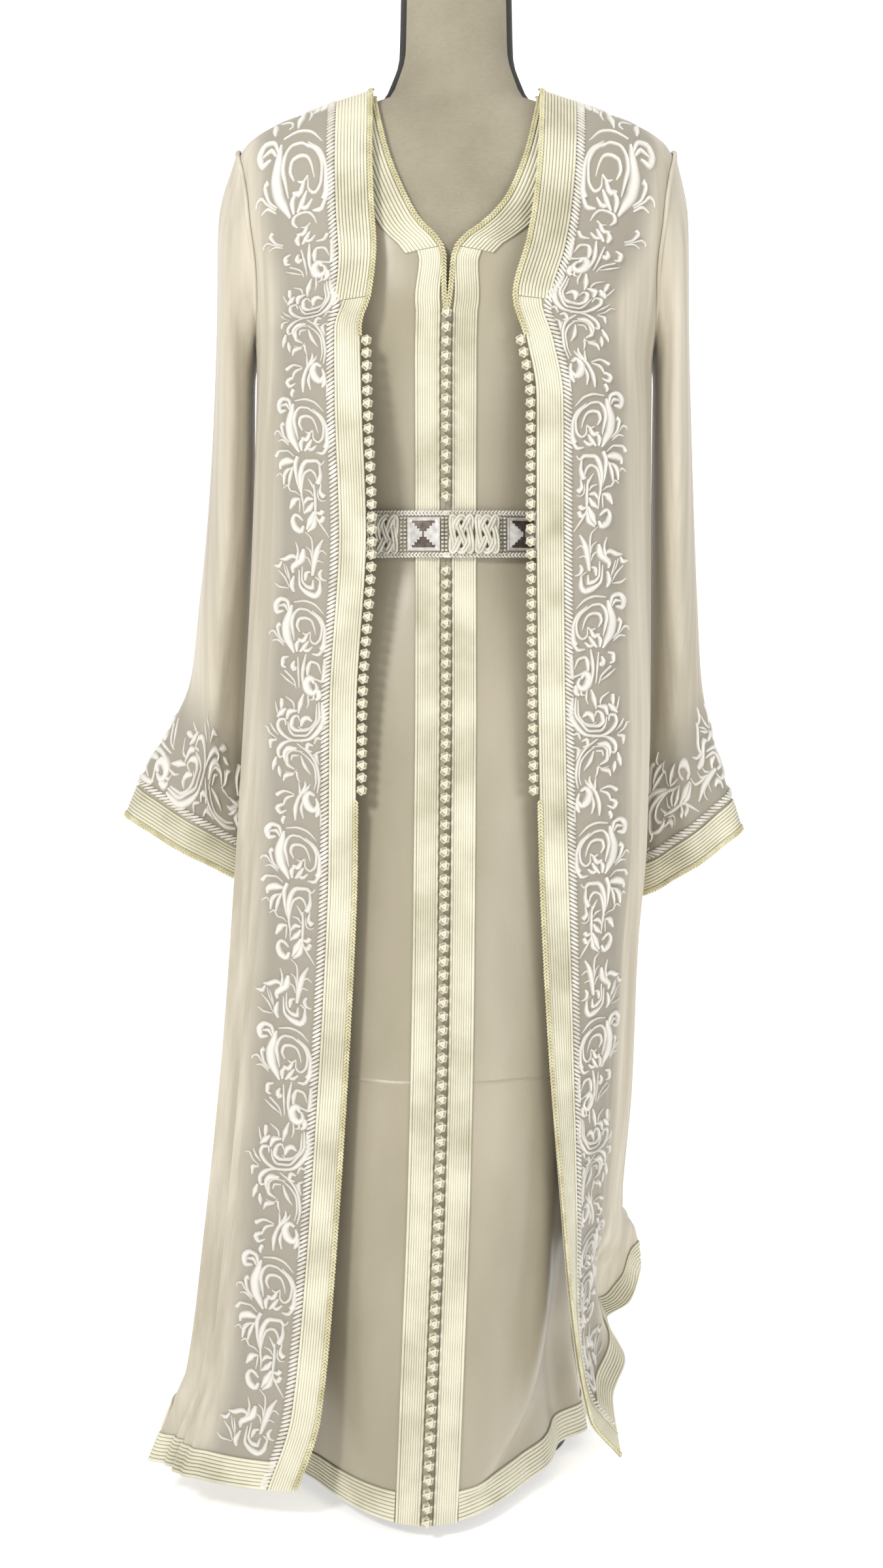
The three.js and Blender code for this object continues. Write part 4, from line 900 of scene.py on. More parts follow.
def linear(colour: Colour) -> tuple[float, ...]:
    """A colour of 0 to 255 in the renderer's own linear values."""
    return tuple(c / 255 / 12.92 if c <= 10 else ((c / 255 + 0.055) / 1.055) ** 2.4 for c in colour)


@dataclass(frozen=True)
class Satin:
    """Smooth champagne satin with a fine close weave and faint slubs."""

    dark: Colour = (160, 152, 131)
    light: Colour = (182, 174, 154)
    crease: float = 0.438

    def build(self) -> Material:
        """Makes the material."""
        g = Graph("champagne_satin")
        u, v = g.uv()
        warp, weft = (g.math("SINE", g.math("MULTIPLY", at, pitch)) for at, pitch in ((u, 5.2), (v, 3.9)))
        weave = g.math("ADD", warp, weft)
        cloudy = g.noise(9, 3, stretch=(1, 1, 0.45))
        normal = g.bump(weave, 0.10, 0.0002)
        normal = g.bump(g.noise(22, 4, stretch=(1, 1, 0.35)), 0.2, 0.005, normal)
        normal = g.bump(g.noise(7, 1, stretch=(1, 1, 0.4)), 0.5, 0.03, normal)
        height = g.add("SeparateXYZ", {0: g.place()}).outputs[2]
        off = g.math("ADD", g.math("SUBTRACT", height, self.crease), g.math("MULTIPLY", g.noise(9, 2), 0.012))
        away = g.math("MINIMUM", g.math("MULTIPLY", g.math("ABSOLUTE", off), 420.0), 1.0)
        ridge = g.math("SUBTRACT", 1.0, away)
        normal = g.bump(ridge, 0.6, 0.0016, normal)
        colour = g.tint(cloudy, self.dark, self.light)
        return g.finish(colour, normal, 0.3, Sheen_Weight=0.2, Sheen_Roughness=0.4, Specular_IOR_Level=0.6)


@dataclass(frozen=True)
class Chiffon:
    """Sheer crepe chiffon, with painted shade that darkens it round the embroidery."""

    dark: Colour = (192, 184, 165)
    light: Colour = (220, 213, 196)
    # The colour of the painted shade round the embroidery
    ground: Colour = (166, 160, 147)

    def build(self) -> Material:
        """Makes the material."""
        g = Graph("crepe_chiffon")
        streaks = g.noise(60, 4, stretch=(1, 1, 0.03))
        crepe = g.noise(900, 2, stretch=(1, 1, 0.35))
        normal = g.bump(streaks, 0.22, 0.0016)
        normal = g.bump(crepe, 0.12, 0.0004, normal)
        colour = g.tint(streaks, self.dark, self.light, 0.35, 0.68)
        # Painted shade: the chiffon is mixed towards a darker grey where the embroidery stands on it.
        edge = g.add("Attribute", attribute_name="ground").outputs["Fac"]
        low = g.add("RGB")
        low.outputs[0].default_value = (*linear(self.ground), 1)
        mixed = g.add("Mix", {0: edge, 6: colour, 7: low.outputs[0]}, data_type="RGBA").outputs[2]
        return g.finish(mixed, normal, 0.62, Sheen_Weight=0.3, Sheen_Roughness=0.45, Alpha=0.93)


@dataclass(frozen=True)
class Braid:
    """Knitted braid: rows of slanting stitches that meet in a V along each rib, with painted shade between the ribs and
    on the stitches.
    """

    name: str = "ivory_braid"
    dark: Colour = (150, 144, 114)
    light: Colour = (234, 231, 210)
    stitch: float = 2.1
    depth: float = 0.0007

    def build(self) -> Material:
        """Makes the material."""
        g = Graph(self.name)
        u, v = g.uv()
        within = g.math("ABSOLUTE", g.math("SUBTRACT", g.math("FRACT", u), 0.5))
        lean = g.math("ADD", g.math("DIVIDE", v, self.stitch), g.math("MULTIPLY", within, 1.5))
        stitches = g.math("ABSOLUTE", g.math("SUBTRACT", g.math("FRACT", lean), 0.5))
        # Painted shade: the colour darkens between the ribs, and the stitch rows are painted lighter and darker across
        # each stitch, over random tone.
        painted_rib_shade = g.math("POWER", g.math("MULTIPLY", within, 2.0), 4.0)
        lit = g.math("ADD", g.math("MULTIPLY", stitches, 0.26), g.noise(14, 3))
        shade = g.math("SUBTRACT", lit, g.math("MULTIPLY", painted_rib_shade, 0.55))
        normal = g.bump(stitches, 0.5, self.depth)
        normal = g.bump(g.noise(1500, 2), 0.15, 0.0003, normal)
        colour = g.tint(shade, self.dark, self.light, 0.05, 0.62)
        return g.finish(colour, normal, 0.5, Sheen_Weight=0.15, Sheen_Roughness=0.5)


@dataclass(frozen=True)
class Thread:
    """Twisted thread or cord, with fine slanting plies along its own UV."""

    name: str
    dark: Colour
    light: Colour
    plies: float = 2.4
    slant: float = 0.8
    roughness: float = 0.45
    depth: float = 0.0004

    def build(self) -> Material:
        """Makes the material."""
        g = Graph(self.name)
        u, v = g.uv()
        lean = g.math("ADD", g.math("MULTIPLY", u, self.plies), g.math("MULTIPLY", v, self.slant))
        plies = g.math("SINE", g.math("MULTIPLY", lean, 2 * math.pi))
        soft = g.noise(55, 3)
        normal = g.bump(plies, 0.4, self.depth)
        # The plies tint the colour a little as painted shade between them, over random tone.
        colour = g.tint(g.math("ADD", g.math("MULTIPLY", plies, 0.12), soft), self.dark, self.light)
        return g.finish(colour, normal, self.roughness, Sheen_Weight=0.2, Sheen_Roughness=0.4)


@dataclass(frozen=True)
class SatinStitch:
    """Close bright stitches laid across a padded stroke, with painted shade that darkens them towards the stroke's
    edges where they meet the cloth.
    """

    # The painted shade at the stroke's edges
    dip: Colour = (140, 132, 116)
    crown: Colour = (252, 249, 242)

    def build(self) -> Material:
        """Makes the material. U runs along a stroke, and V across it from -0.8 to 0.8."""
        g = Graph("satin_stitch")
        u, v = g.uv()
        lean = g.math("ADD", g.math("MULTIPLY", u, 1.7), g.math("MULTIPLY", v, 0.9))
        threads = g.math("SINE", g.math("MULTIPLY", lean, 2 * math.pi))
        # Painted shade: the colour falls from the bright ridge to a darker tone at both edges, and the thread lines add
        # a little more painted shade.
        off = g.math("MULTIPLY", g.math("ABSOLUTE", v), 1.25)
        crown = g.math("SUBTRACT", 1.0, g.math("POWER", off, 1.5))
        shade = g.math("ADD", crown, g.math("MULTIPLY", threads, 0.09))
        normal = g.bump(threads, 0.5, 0.0005)
        colour = g.tint(shade, self.dip, self.crown, 0.0, 0.85)
        return g.finish(colour, normal, 0.34, Sheen_Weight=0.2, Sheen_Roughness=0.4)


@dataclass(frozen=True)
class KnottedCord:
    """Cord knotted into a ball, with painted shade that darkens the sides of each turn, where the turns meet."""

    # The painted shade where the turns meet
    hollow: Colour = (146, 138, 110)
    turn: Colour = (240, 235, 212)

    def build(self) -> Material:
        """Makes the material. U runs along a turn of cord, and V round it."""
        g = Graph("button_cord")
        u, v = g.uv()
        # Painted shade: the colour darkens from the outer side of each turn round to its sides, where it meets the
        # others, and the plies add a little more.
        outer = g.math("COSINE", v)
        plies = g.math("SINE", g.math("ADD", g.math("MULTIPLY", u, 5.5), g.math("MULTIPLY", v, 2.0)))
        shade = g.math("ADD", outer, g.math("MULTIPLY", g.math("ADD", plies, g.noise(400, 3)), 0.16))
        normal = g.bump(plies, 0.5, 0.0005)
        return g.finish(g.tint(shade, self.hollow, self.turn, 0.1, 0.95), normal, 0.5, Sheen_Weight=0.15)


@dataclass(frozen=True)
class Metal:
    """Metal with fine brushing and darker patches where it is worn."""

    name: str
    dark: Colour
    light: Colour
    metallic: float = 0.9
    roughness: float = 0.3

    def build(self) -> Material:
        """Makes the material."""
        g = Graph(self.name)
        worn = g.noise(180, 5)
        brushed = g.noise(700, 2, stretch=(1, 1, 0.1))
        normal = g.bump(brushed, 0.12, 0.0002)
        normal = g.bump(worn, 0.15, 0.0006, normal)
        colour = g.tint(worn, self.dark, self.light)
        return g.finish(colour, normal, self.roughness, Metallic=self.metallic)


@dataclass(frozen=True)
class Woven:
    """A plain woven cover, such as the form's linen or its black jersey."""

    name: str
    dark: Colour
    light: Colour
    pitch: float = 0.55
    depth: float = 0.0004
    roughness: float = 0.85

    def build(self) -> Material:
        """Makes the material."""
        g = Graph(self.name)
        u, v = g.uv()
        warp = g.math("SINE", g.math("MULTIPLY", u, math.pi / self.pitch))
        weft = g.math("SINE", g.math("MULTIPLY", v, math.pi / self.pitch))
        weave = g.math("MULTIPLY", warp, weft)
        slubs = g.noise(160, 4, stretch=(1, 1, 6))
        normal = g.bump(weave, 0.35, self.depth)
        normal = g.bump(slubs, 0.2, 0.0006, normal)
        patchy = g.math("ADD", g.math("MULTIPLY", g.noise(12, 4), 0.7), g.math("MULTIPLY", slubs, 0.3))
        return g.finish(g.tint(patchy, self.dark, self.light), normal, self.roughness, Sheen_Weight=0.1)


def made(kind: type, *values: object) -> Material:
    """A field of Finishes, filled by the material that a kind of finish builds from some values."""
    return field(default_factory=lambda: kind(*values).build())


@dataclass(frozen=True)
class Finishes:
    """Every material of the part, made once."""

    satin: Material = made(Satin)
    chiffon: Material = made(Chiffon)
    braid: Material = made(Braid)
    cord: Material = made(Thread, "yellow_cord", (206, 198, 154), (244, 239, 205), 1.1, 0.7)
    button: Material = made(KnottedCord)
    satin_stitch: Material = made(SatinStitch)
    stitch: Material = made(Thread, "white_stitching", (216, 211, 198), (252, 250, 243), 1.6, 1.0, 0.34)
    belt_cord: Material = made(Thread, "belt_cord", (202, 197, 182), (240, 236, 224), 0.8, 1.0, 0.34)
    belt_braid: Material = made(Braid, "belt_braid", (120, 114, 97), (180, 174, 156), 1.4, 0.0005)
    silver: Material = made(Metal, "silver", (214, 210, 206), (250, 249, 247), 0.45, 0.26)
    dark_silver: Material = made(Metal, "dark_silver", (74, 64, 57), (112, 102, 94), 0.45, 0.36)
    linen: Material = made(Woven, "form_linen", (146, 139, 119), (174, 166, 147))
    black: Material = made(Woven, "form_black_jersey", (14, 14, 16), (26, 26, 28), 0.7)
    stand: Material = made(Metal, "stand_lacquer", (18, 18, 20), (30, 30, 33), 0.35, 0.4)


# ---- Repeated stitches, links and buttons


class Repeater:
    """Sets a small shape again and again along a path, with Geometry Nodes."""

    SEED = 7

    def __init__(self) -> None:
        """Builds the tree once, for every row of stitches, links and buttons."""
        tree = bpy.data.node_groups.new("repeat_along_path", "GeometryNodeTree")
        self.tree = tree
        sockets = (
            ("Path", "NodeSocketGeometry"), ("Shape", "NodeSocketObject"), ("Pitch", "NodeSocketFloat"),
            ("Size", "NodeSocketFloat"), ("Unevenness", "NodeSocketFloat"), ("Seed", "NodeSocketInt"),
            ("Finish", "NodeSocketMaterial"),
        )
        self.ids = {
            name: tree.interface.new_socket(name, in_out="INPUT", socket_type=kind).identifier
            for name, kind in sockets
        }
        tree.interface.new_socket("Geometry", in_out="OUTPUT", socket_type="NodeSocketGeometry")
        new = tree.nodes.new
        given, out = new("NodeGroupInput"), new("NodeGroupOutput")
        curve, even = new("GeometryNodeMeshToCurve"), new("GeometryNodeResampleCurve")
        even.mode = "LENGTH"
        away, ahead = new("GeometryNodeInputNamedAttribute"), new("GeometryNodeInputTangent")
        away.data_type = "FLOAT_VECTOR"
        away.inputs["Name"].default_value = "away"
        along, up = new("FunctionNodeAlignRotationToVector"), new("FunctionNodeAlignRotationToVector")
        along.axis, up.axis, up.pivot_axis = "X", "Z", "X"
        shape, rows = new("GeometryNodeObjectInfo"), new("GeometryNodeInstanceOnPoints")
        uneven, size = new("FunctionNodeRandomValue"), new("ShaderNodeMath")
        size.operation = "MULTIPLY"
        low, high = new("ShaderNodeMath"), new("ShaderNodeMath")
        low.operation, high.operation = "SUBTRACT", "ADD"
        low.inputs[0].default_value = high.inputs[0].default_value = 1.0
        real, finish = new("GeometryNodeRealizeInstances"), new("GeometryNodeSetMaterial")
        for a, b in (
            (given.outputs["Path"], curve.inputs[0]), (curve.outputs[0], even.inputs["Curve"]),
            (given.outputs["Pitch"], even.inputs["Length"]), (ahead.outputs[0], along.inputs["Vector"]),
            (along.outputs[0], up.inputs["Rotation"]), (away.outputs["Attribute"], up.inputs["Vector"]),
            (given.outputs["Shape"], shape.inputs["Object"]), (even.outputs[0], rows.inputs["Points"]),
            (shape.outputs["Geometry"], rows.inputs["Instance"]), (up.outputs[0], rows.inputs["Rotation"]),
            (given.outputs["Unevenness"], low.inputs[1]), (given.outputs["Unevenness"], high.inputs[1]),
            (low.outputs[0], uneven.inputs[2]), (high.outputs[0], uneven.inputs[3]),
            (given.outputs["Seed"], uneven.inputs["Seed"]), (uneven.outputs[1], size.inputs[0]),
            (given.outputs["Size"], size.inputs[1]), (size.outputs[0], rows.inputs["Scale"]),
            (rows.outputs[0], real.inputs[0]), (real.outputs[0], finish.inputs[0]),
            (given.outputs["Finish"], finish.inputs["Material"]), (finish.outputs[0], out.inputs[0]),
        ):
            tree.links.new(a, b)

    def lay(
        self,
        name: str,
        paths: list[tuple[Array, Array]],
        shape: Piece,
        pitch: float,
        finish: Material,
        uneven: float = 0.04,
    ) -> Piece:
        """Lays the shape along some paths.

        Args:
            name: The new piece's name.
            paths: For each path its points and outward directions.
            shape: The small shape, with X along the path and Z out.
            pitch: The distance from one to the next, in millimetres.
            finish: The material.
            uneven: How much the sizes vary.

        Returns:
            The row as a plain mesh object.
        """
        points = np.concatenate([p for p, _ in paths]) * MM
        away = np.concatenate([a for _, a in paths])
        starts = np.cumsum([0, *(len(p) for p, _ in paths)])
        edges = [(i, i + 1) for a, b in zip(starts[:-1], starts[1:]) for i in range(a, b - 1)]
        mesh = bpy.data.meshes.new(name + "_path")
        mesh.from_pydata(points.tolist(), edges, [])
        outward_at = mesh.attributes.new("away", "FLOAT_VECTOR", "POINT").data
        outward_at.foreach_set("vector", away.astype(np.float32).ravel())
        carrier = bpy.data.objects.new(name + "_path", mesh)
        bpy.context.scene.collection.objects.link(carrier)
        rows = carrier.modifiers.new("rows", "NODES")
        rows.node_group = self.tree
        values = {
            "Shape": shape, "Pitch": pitch * MM, "Size": 1.0, "Unevenness": uneven, "Seed": self.SEED, "Finish": finish,
        }
        for key, value in values.items():
            rows[self.ids[key]] = value
        bpy.context.view_layer.update()
        made = bpy.data.meshes.new_from_object(carrier.evaluated_get(bpy.context.evaluated_depsgraph_get()))
        bpy.data.objects.remove(carrier)
        made.name = name
        piece = bpy.data.objects.new(name, made)
        bpy.context.scene.collection.objects.link(piece)
        return piece


def ellipsoid(radii: tuple[float, float, float], sides: int, rings: int) -> tuple[Array, list, Array]:
    """A small ellipsoid.

    Args:
        radii: Its half sizes along X, Y and Z.
        sides: How many faces lie round it.
        rings: How many rings lie between its poles.

    Returns:
        Its points, faces and UVs.
    """
    polar = np.linspace(0, math.pi, rings + 2)[1:-1]
    angle = np.linspace(0, 2 * math.pi, sides, endpoint=False)
    body = np.stack(
        [
            np.outer(np.cos(polar), np.ones(sides)),
            np.outer(np.sin(polar), np.cos(angle)),
            np.outer(np.sin(polar), np.sin(angle)),
        ],
        axis=-1,
    ).reshape(-1, 3)
    points = np.concatenate([body, [[1, 0, 0], [-1, 0, 0]]]) * radii
    top, foot = rings * sides, rings * sides + 1
    faces = [
        [i * sides + j, i * sides + (j + 1) % sides, (i + 1) * sides + (j + 1) % sides, (i + 1) * sides + j]
        for i in range(rings - 1)
        for j in range(sides)
    ]
    faces += [[top, (j + 1) % sides, j] for j in range(sides)]
    base = (rings - 1) * sides
    faces += [[foot, base + j, base + (j + 1) % sides] for j in range(sides)]
    faces = [face[::-1] for face in faces]
    return points, faces, np.stack([points[:, 0], np.arctan2(points[:, 2], points[:, 1])], axis=-1)


def spun(points: Array, turn: float, tilt: float = 0.0) -> Array:
    """Points turned about Z and then about X, in degrees."""
    a, b = math.radians(turn), math.radians(tilt)
    about_z = np.array([[math.cos(a), -math.sin(a), 0], [math.sin(a), math.cos(a), 0], [0, 0, 1]])
    about_x = np.array([[1, 0, 0], [0, math.cos(b), -math.sin(b)], [0, math.sin(b), math.cos(b)]])
    return points @ about_z.T @ about_x.T


class Shapes:
    """The small shapes that rows of stitching, links and buttons are made of."""

    KNOT_RADIUS, KNOT_CORD, KNOT_LEAN, KNOT_TURNS, KNOT_CORE = 3.5, 2.3, 66.0, (20, 140, 260), 1.6
    ROPE_BAR, CUFF_BAR = (5.5, 32.0), (7.4, -54.0)

    def __init__(self, finish: Material) -> None:
        """Builds each shape as a hidden object."""
        self.kept: list[Piece] = []
        self.chain = self.keep("chain_link", self.chain_link(), finish)
        self.button = self.keep("knotted_ball", self.knotted_ball(), finish)
        self.bar, self.cuff_bar = (
            {side: self.keep(f"{name}_{side.label}", self.slanting_bar(side, *way), finish) for side in Side}
            for name, way in (("stitched_bar", self.ROPE_BAR), ("cuff_bar", self.CUFF_BAR))
        )
        self.bead = self.keep("coil_bead", self.bead_pair(), finish)

    def keep(self, name: str, stock: MeshStock, finish: Material) -> Piece:
        """Keeps a shape out of sight."""
        shape = stock.build(name, finish)
        shape.hide_render = True
        self.kept.append(shape)
        return shape

    def clear(self) -> None:
        """Removes the small shapes once every row is laid."""
        for shape in self.kept:
            bpy.data.objects.remove(shape)

    def chain_link(self) -> MeshStock:
        """Two plump strands that meet in a V."""
        stock = MeshStock()
        for sign in (-1, 1):
            points, faces, uv = ellipsoid((2.7, 1.15, 1.25), 6, 3)
            stock.add(spun(points, sign * 34) + (0, sign * 1.25, 0.7), faces, uv)
        return stock

    def knotted_ball(self) -> MeshStock:
        """A ball knotted of three turns of cord over a round core."""
        stock = MeshStock()
        points, faces, _ = ellipsoid((self.KNOT_RADIUS + self.KNOT_CORE,) * 3, 8, 4)
        # The core's UV puts it at a middle tone of the cord's painted shade, as the shade between the turns.
        stock.add(points, faces, np.full((len(points), 2), 1.15))
        along, round_ = (np.linspace(0, 2 * math.pi, count, endpoint=False) for count in (11, 5))
        for turn in self.KNOT_TURNS:
            a, lean = math.radians(turn), math.radians(self.KNOT_LEAN)
            axis = np.array([math.cos(a) * math.sin(lean), math.sin(a) * math.sin(lean), math.cos(lean)])
            side = unit(np.cross(axis, (0.0, 0.0, 1.0)))
            other = np.cross(axis, side)
            out = (side * np.cos(along)[:, None] + other * np.sin(along)[:, None])[:, None]
            swell = np.cos(round_)[:, None]
            rise = axis * self.KNOT_CORD * np.sin(round_)[:, None]
            ring = out * (self.KNOT_RADIUS + self.KNOT_CORD * swell) + rise
            stock.add_loft(ring, pairs((along * self.KNOT_RADIUS)[:, None], round_), closed=True)
        return stock

    def slanting_bar(self, side: Side, length: float, slant: float) -> MeshStock:
        """A plump bar of satin stitch that lies slanting across its row."""
        stock = MeshStock()
        points, faces, uv = ellipsoid((length, 1.65, 1.9), 8, 4)
        stock.add(spun(points, 90 - slant * side.value) + (0, 0, 0.5), faces, uv)
        return stock

    def bead_pair(self) -> MeshStock:
        """Two short cylinders side by side, as a coil shows them."""
        stock = MeshStock()
        for sign in (-1, 1):
            points, faces, uv = ellipsoid((1.75, 1.4, 1.5), 6, 2)
            stock.add(spun(points, 90) + (0, sign * 2.0, 0), faces, uv)
        return stock


# ---- Braid bands


@dataclass(frozen=True)
class BandSize:
    """A braid band's width and ribs. An edged band is flat between two raised edges."""

    width: float
    ribs: int
    edged: bool = False
    edge: float = 3.1

    def outline(self) -> tuple[Array, Array, Array]:
        """The shares across the band, their rises over its seat, and their rib numbers."""
        if not self.edged:
            k = np.arange(self.ribs * 5 + 1) / 5
            return k / self.ribs, BRAID - 0.4 + (RIB + 0.6) * np.abs(np.sin(math.pi * k)) ** 0.7, k
        roll, web = np.arange(6) / 5, np.arange(self.ribs * 4 + 1) / 4
        side = self.edge / self.width
        domed = BRAID - 0.3 + 1.2 * np.sin(math.pi * roll) ** 0.6
        share = np.concatenate([roll * side, lerp(side, 1 - side, web / self.ribs), 1 - side + roll * side])
        rise = np.concatenate([domed, BRAID - 0.4 + 0.28 * np.abs(np.sin(math.pi * web)), domed])
        return share, rise, np.concatenate([roll, 1 + web, 1 + self.ribs + roll])


class BraidBands:
    """Bands of braid on the edges of one piece of cloth."""

    UNDERSIDE = (1.0, 0.5, 0.0)
    STEP = 3.0

    def __init__(self, strip: Strip) -> None:
        """Keeps the cloth's edge that the bands run along."""
        self.strip = strip

    def stock(
        self, size: BandSize, start: float, end: float, inset: Callable[[Array], Array] | float, closed: bool
    ) -> MeshStock:
        """One band.

        Args:
            size: Its size.
            start: Where along the edge it starts.
            end: Where it ends.
            inset: How far in from the edge it lies, or a function of the distance along it.
            closed: Whether it runs all the way round.

        Returns:
            Its mesh.
        """
        s = np.linspace(start, end, max(3, math.ceil((end - start) / self.STEP) + 1))
        s = s[:-1] if closed else s
        share, rise, ribs = size.outline()
        first = np.broadcast_to(inset(s) if callable(inset) else inset, s.shape)[:, None]
        upper, _ = self.strip.at(s[:, None], first + share * size.width, (CLOTH + SEAM + rise)[None])
        under = np.array(self.UNDERSIDE)
        lower, _ = self.strip.at(s[:, None], first + under * size.width, CLOTH * 0.6)
        uv = pairs(np.concatenate([ribs, under * ribs[-1]]), s[:, None])
        stock = MeshStock()
        stock.add_loft(np.concatenate([upper, lower], axis=1), uv, closed)
        return stock


# ---- The dress form


@dataclass(frozen=True)
class FormSize:
    """The sizes of the form and its stand."""

    linen_turn: float = 62.0
    turn_step: float = 3.0
    ring_step: float = 9.0
    cap_thick: float = 14.0
    pole_radius: float = 14.0
    base: tuple[tuple[float, float], ...] = (
        (0.01, 0), (120.5, 0), (122, 1.5), (122, 8), (121.2, 10.2), (119, 12), (80, 14), (36, 16), (29, 19),
        (26, 24), (22, 34), (20, 46), (14, 46),
    )


class DressForm:
    """The limbless form: a linen front, a black back, a neck cap, a pole and a round base."""

    def __init__(self, size: FormSize, finishes: Finishes) -> None:
        """Reads the form's sections."""
        self.size, self.finishes = size, finishes
        self.section = FORM_RINGS.curves()
        self.low, self.high = FORM_RINGS.rows[0, 0], FORM_RINGS.rows[-1, 0]

    def point(self, turn: Array, z: Array) -> Array:
        """The form's surface. The turn is negative on the left."""
        size = np.abs(turn)
        ahead = size <= 90
        depth = np.where(ahead, -self.section["front"](z), self.section["back"](z))
        within = np.where(ahead, size, 180 - size)
        side = np.where(turn < 0, -1.0, 1.0)
        x, y = quarter((0.0, depth), (self.section["half"](z), 0.0), within, self.section["box"](z))
        return np.stack(np.broadcast_arrays(side * x, y, z), axis=-1)

    def cover(self, turns: Array, gap: float) -> MeshStock:
        """One half of the form, whose flat inner side lies at the seam."""
        z = fine_rows(Table("z same", *((z, z) for z in FORM_RINGS.rows[:, 0])), self.size.ring_step)[0]
        sections = self.point(turns[None], z[:, None]) + (0, gap, 0)
        across = np.cumsum(np.linalg.norm(np.diff(sections, axis=1, prepend=sections[:, :1]), axis=2), axis=1)
        stock = MeshStock()
        stock.add_loft(sections, np.stack([across, sections[..., 2]], axis=-1))
        return stock

    def turned(self, outline: Array, centre: tuple[float, float] = (0, 0), sides: int = 64) -> MeshStock:
        """A turned solid of an outline of radii and heights."""
        angle = np.linspace(0, 2 * math.pi, sides, endpoint=False)
        r, z = outline[:, 0, None], outline[:, 1, None]
        x, y = centre[0] + r * np.cos(angle), centre[1] + r * np.sin(angle)
        ring = np.stack(np.broadcast_arrays(x, y, z), axis=-1)
        stock = MeshStock()
        stock.add_loft(ring, pairs(angle * 60, z))
        return stock

    def build(self) -> None:
        """Makes the form's pieces."""
        size, f = self.size, self.finishes
        edge = size.linen_turn
        front = np.linspace(-edge, edge, round(2 * edge / size.turn_step) + 1)
        right = np.linspace(edge, 180, round((180 - edge) / size.turn_step) + 1)
        back = np.concatenate([right, -right[-2::-1]])
        settle(self.cover(front, -SEAM / 2).build("form_linen", f.linen), "linen", "form_linen_front")
        settle(self.cover(back, SEAM / 2).build("form_jersey", f.black), "form_black", "form_black_back")
        _, half, ahead, behind, _ = FORM_RINGS.rows[-1]
        z = self.high + SEAM + size.cap_thick
        cap = np.array([
            (half, self.high + SEAM), (half, z - 3), (half - 0.6, z - 1), (half - 2, z), (half * 0.5, z), (0.01, z)
        ])
        cap_piece = self.turned(cap, (0, (behind - ahead) / 2)).build("form_neck_cap_top", f.black)
        settle(cap_piece, "form_black", "form_neck_cap")
        foot = size.base[-1][1] + SEAM
        pole = np.array([(size.pole_radius, z) for z in np.linspace(foot, self.low - SEAM, 8)])
        settle(self.turned(pole, sides=40).build("form_pole_tube", f.stand), "stand_metal", "form_pole")
        base = self.turned(np.array(size.base), sides=96)
        settle(base.build("form_round_base", f.stand), "stand_metal", "form_base")


# ---- The under dress


class Garment:
    """What the under dress and the coat share: their finishes and tools, and the way to make a band."""

    def __init__(self, finishes: Finishes, repeater: Repeater, shapes: Shapes) -> None:
        """Keeps the finishes and tools."""
        self.finishes, self.repeater, self.shapes = finishes, repeater, shapes

    def band(
        self, edge: Strip, part: str, place: str, size: BandSize, start: float, end: float,
        inset: Callable[[Array], Array] | float = 0.0, closed: bool = False,
    ) -> Piece:
        """One band of braid.

        Args:
            edge: The edge that it lies on.
            part: The start of its own name and of its node's.
            place: The end of both names.
            size: Its size.
            start: Where along the edge it starts.
            end: Where it ends.
            inset: How far in from the edge it lies, or a function of the distance along it.
            closed: Whether it runs all the way round.

        Returns:
            The piece.
        """
        stock = BraidBands(edge).stock(size, start, end, inset, closed)
        return settle(stock.build(f"{part}_braid_{place}", self.finishes.braid), "braid", f"{part}_band_{place}")

    def button_row(self, name: str, line: Array, pitch: float, node: str) -> None:
        """A row of ball buttons that face the front."""
        away = np.tile((0.0, -1.0, 0.0), (len(line), 1))
        row = self.repeater.lay(
            name, [(line, away)], self.shapes.button, pitch, self.finishes.button, BUTTON_UNEVENNESS
        )
        settle(row, "button", node)

    def back_bands(self, back: Cloth, part: str, neck: BandSize, hem: BandSize) -> tuple[Piece, Piece]:
        """The neck and hem bands of a back."""
        top, foot = Strip(back.turned(), HEM_REACH), Strip(back.turned(from_foot=True), HEM_REACH)
        return (
            self.band(top, f"{part}_neck", "back", neck, 0, top.length),
            self.band(foot, f"{part}_hem", "back", hem, 0, foot.length),
        )


@dataclass(frozen=True)
class GownSize:
    """The sizes of the under dress's trims. A grid is the step between a panel's rows, and its columns."""

    front_grid: tuple[float, int] = (11.0, 50)
    back_grid: tuple[float, int] = (18.0, 40)

    neck: BandSize = BandSize(NECK_BAND, 10)
    placket: BandSize = BandSize(PLACKET_BAND, 8, True)
    hem: BandSize = BandSize(HEM_BAND, 8)
    mitre_row: int = 6
    slit_row: int = 8
    lane_step: float = 8.5
    belt_gap: float = 9.0
    button_pitch: float = 13.4
    chain_pitch: float = 3.3


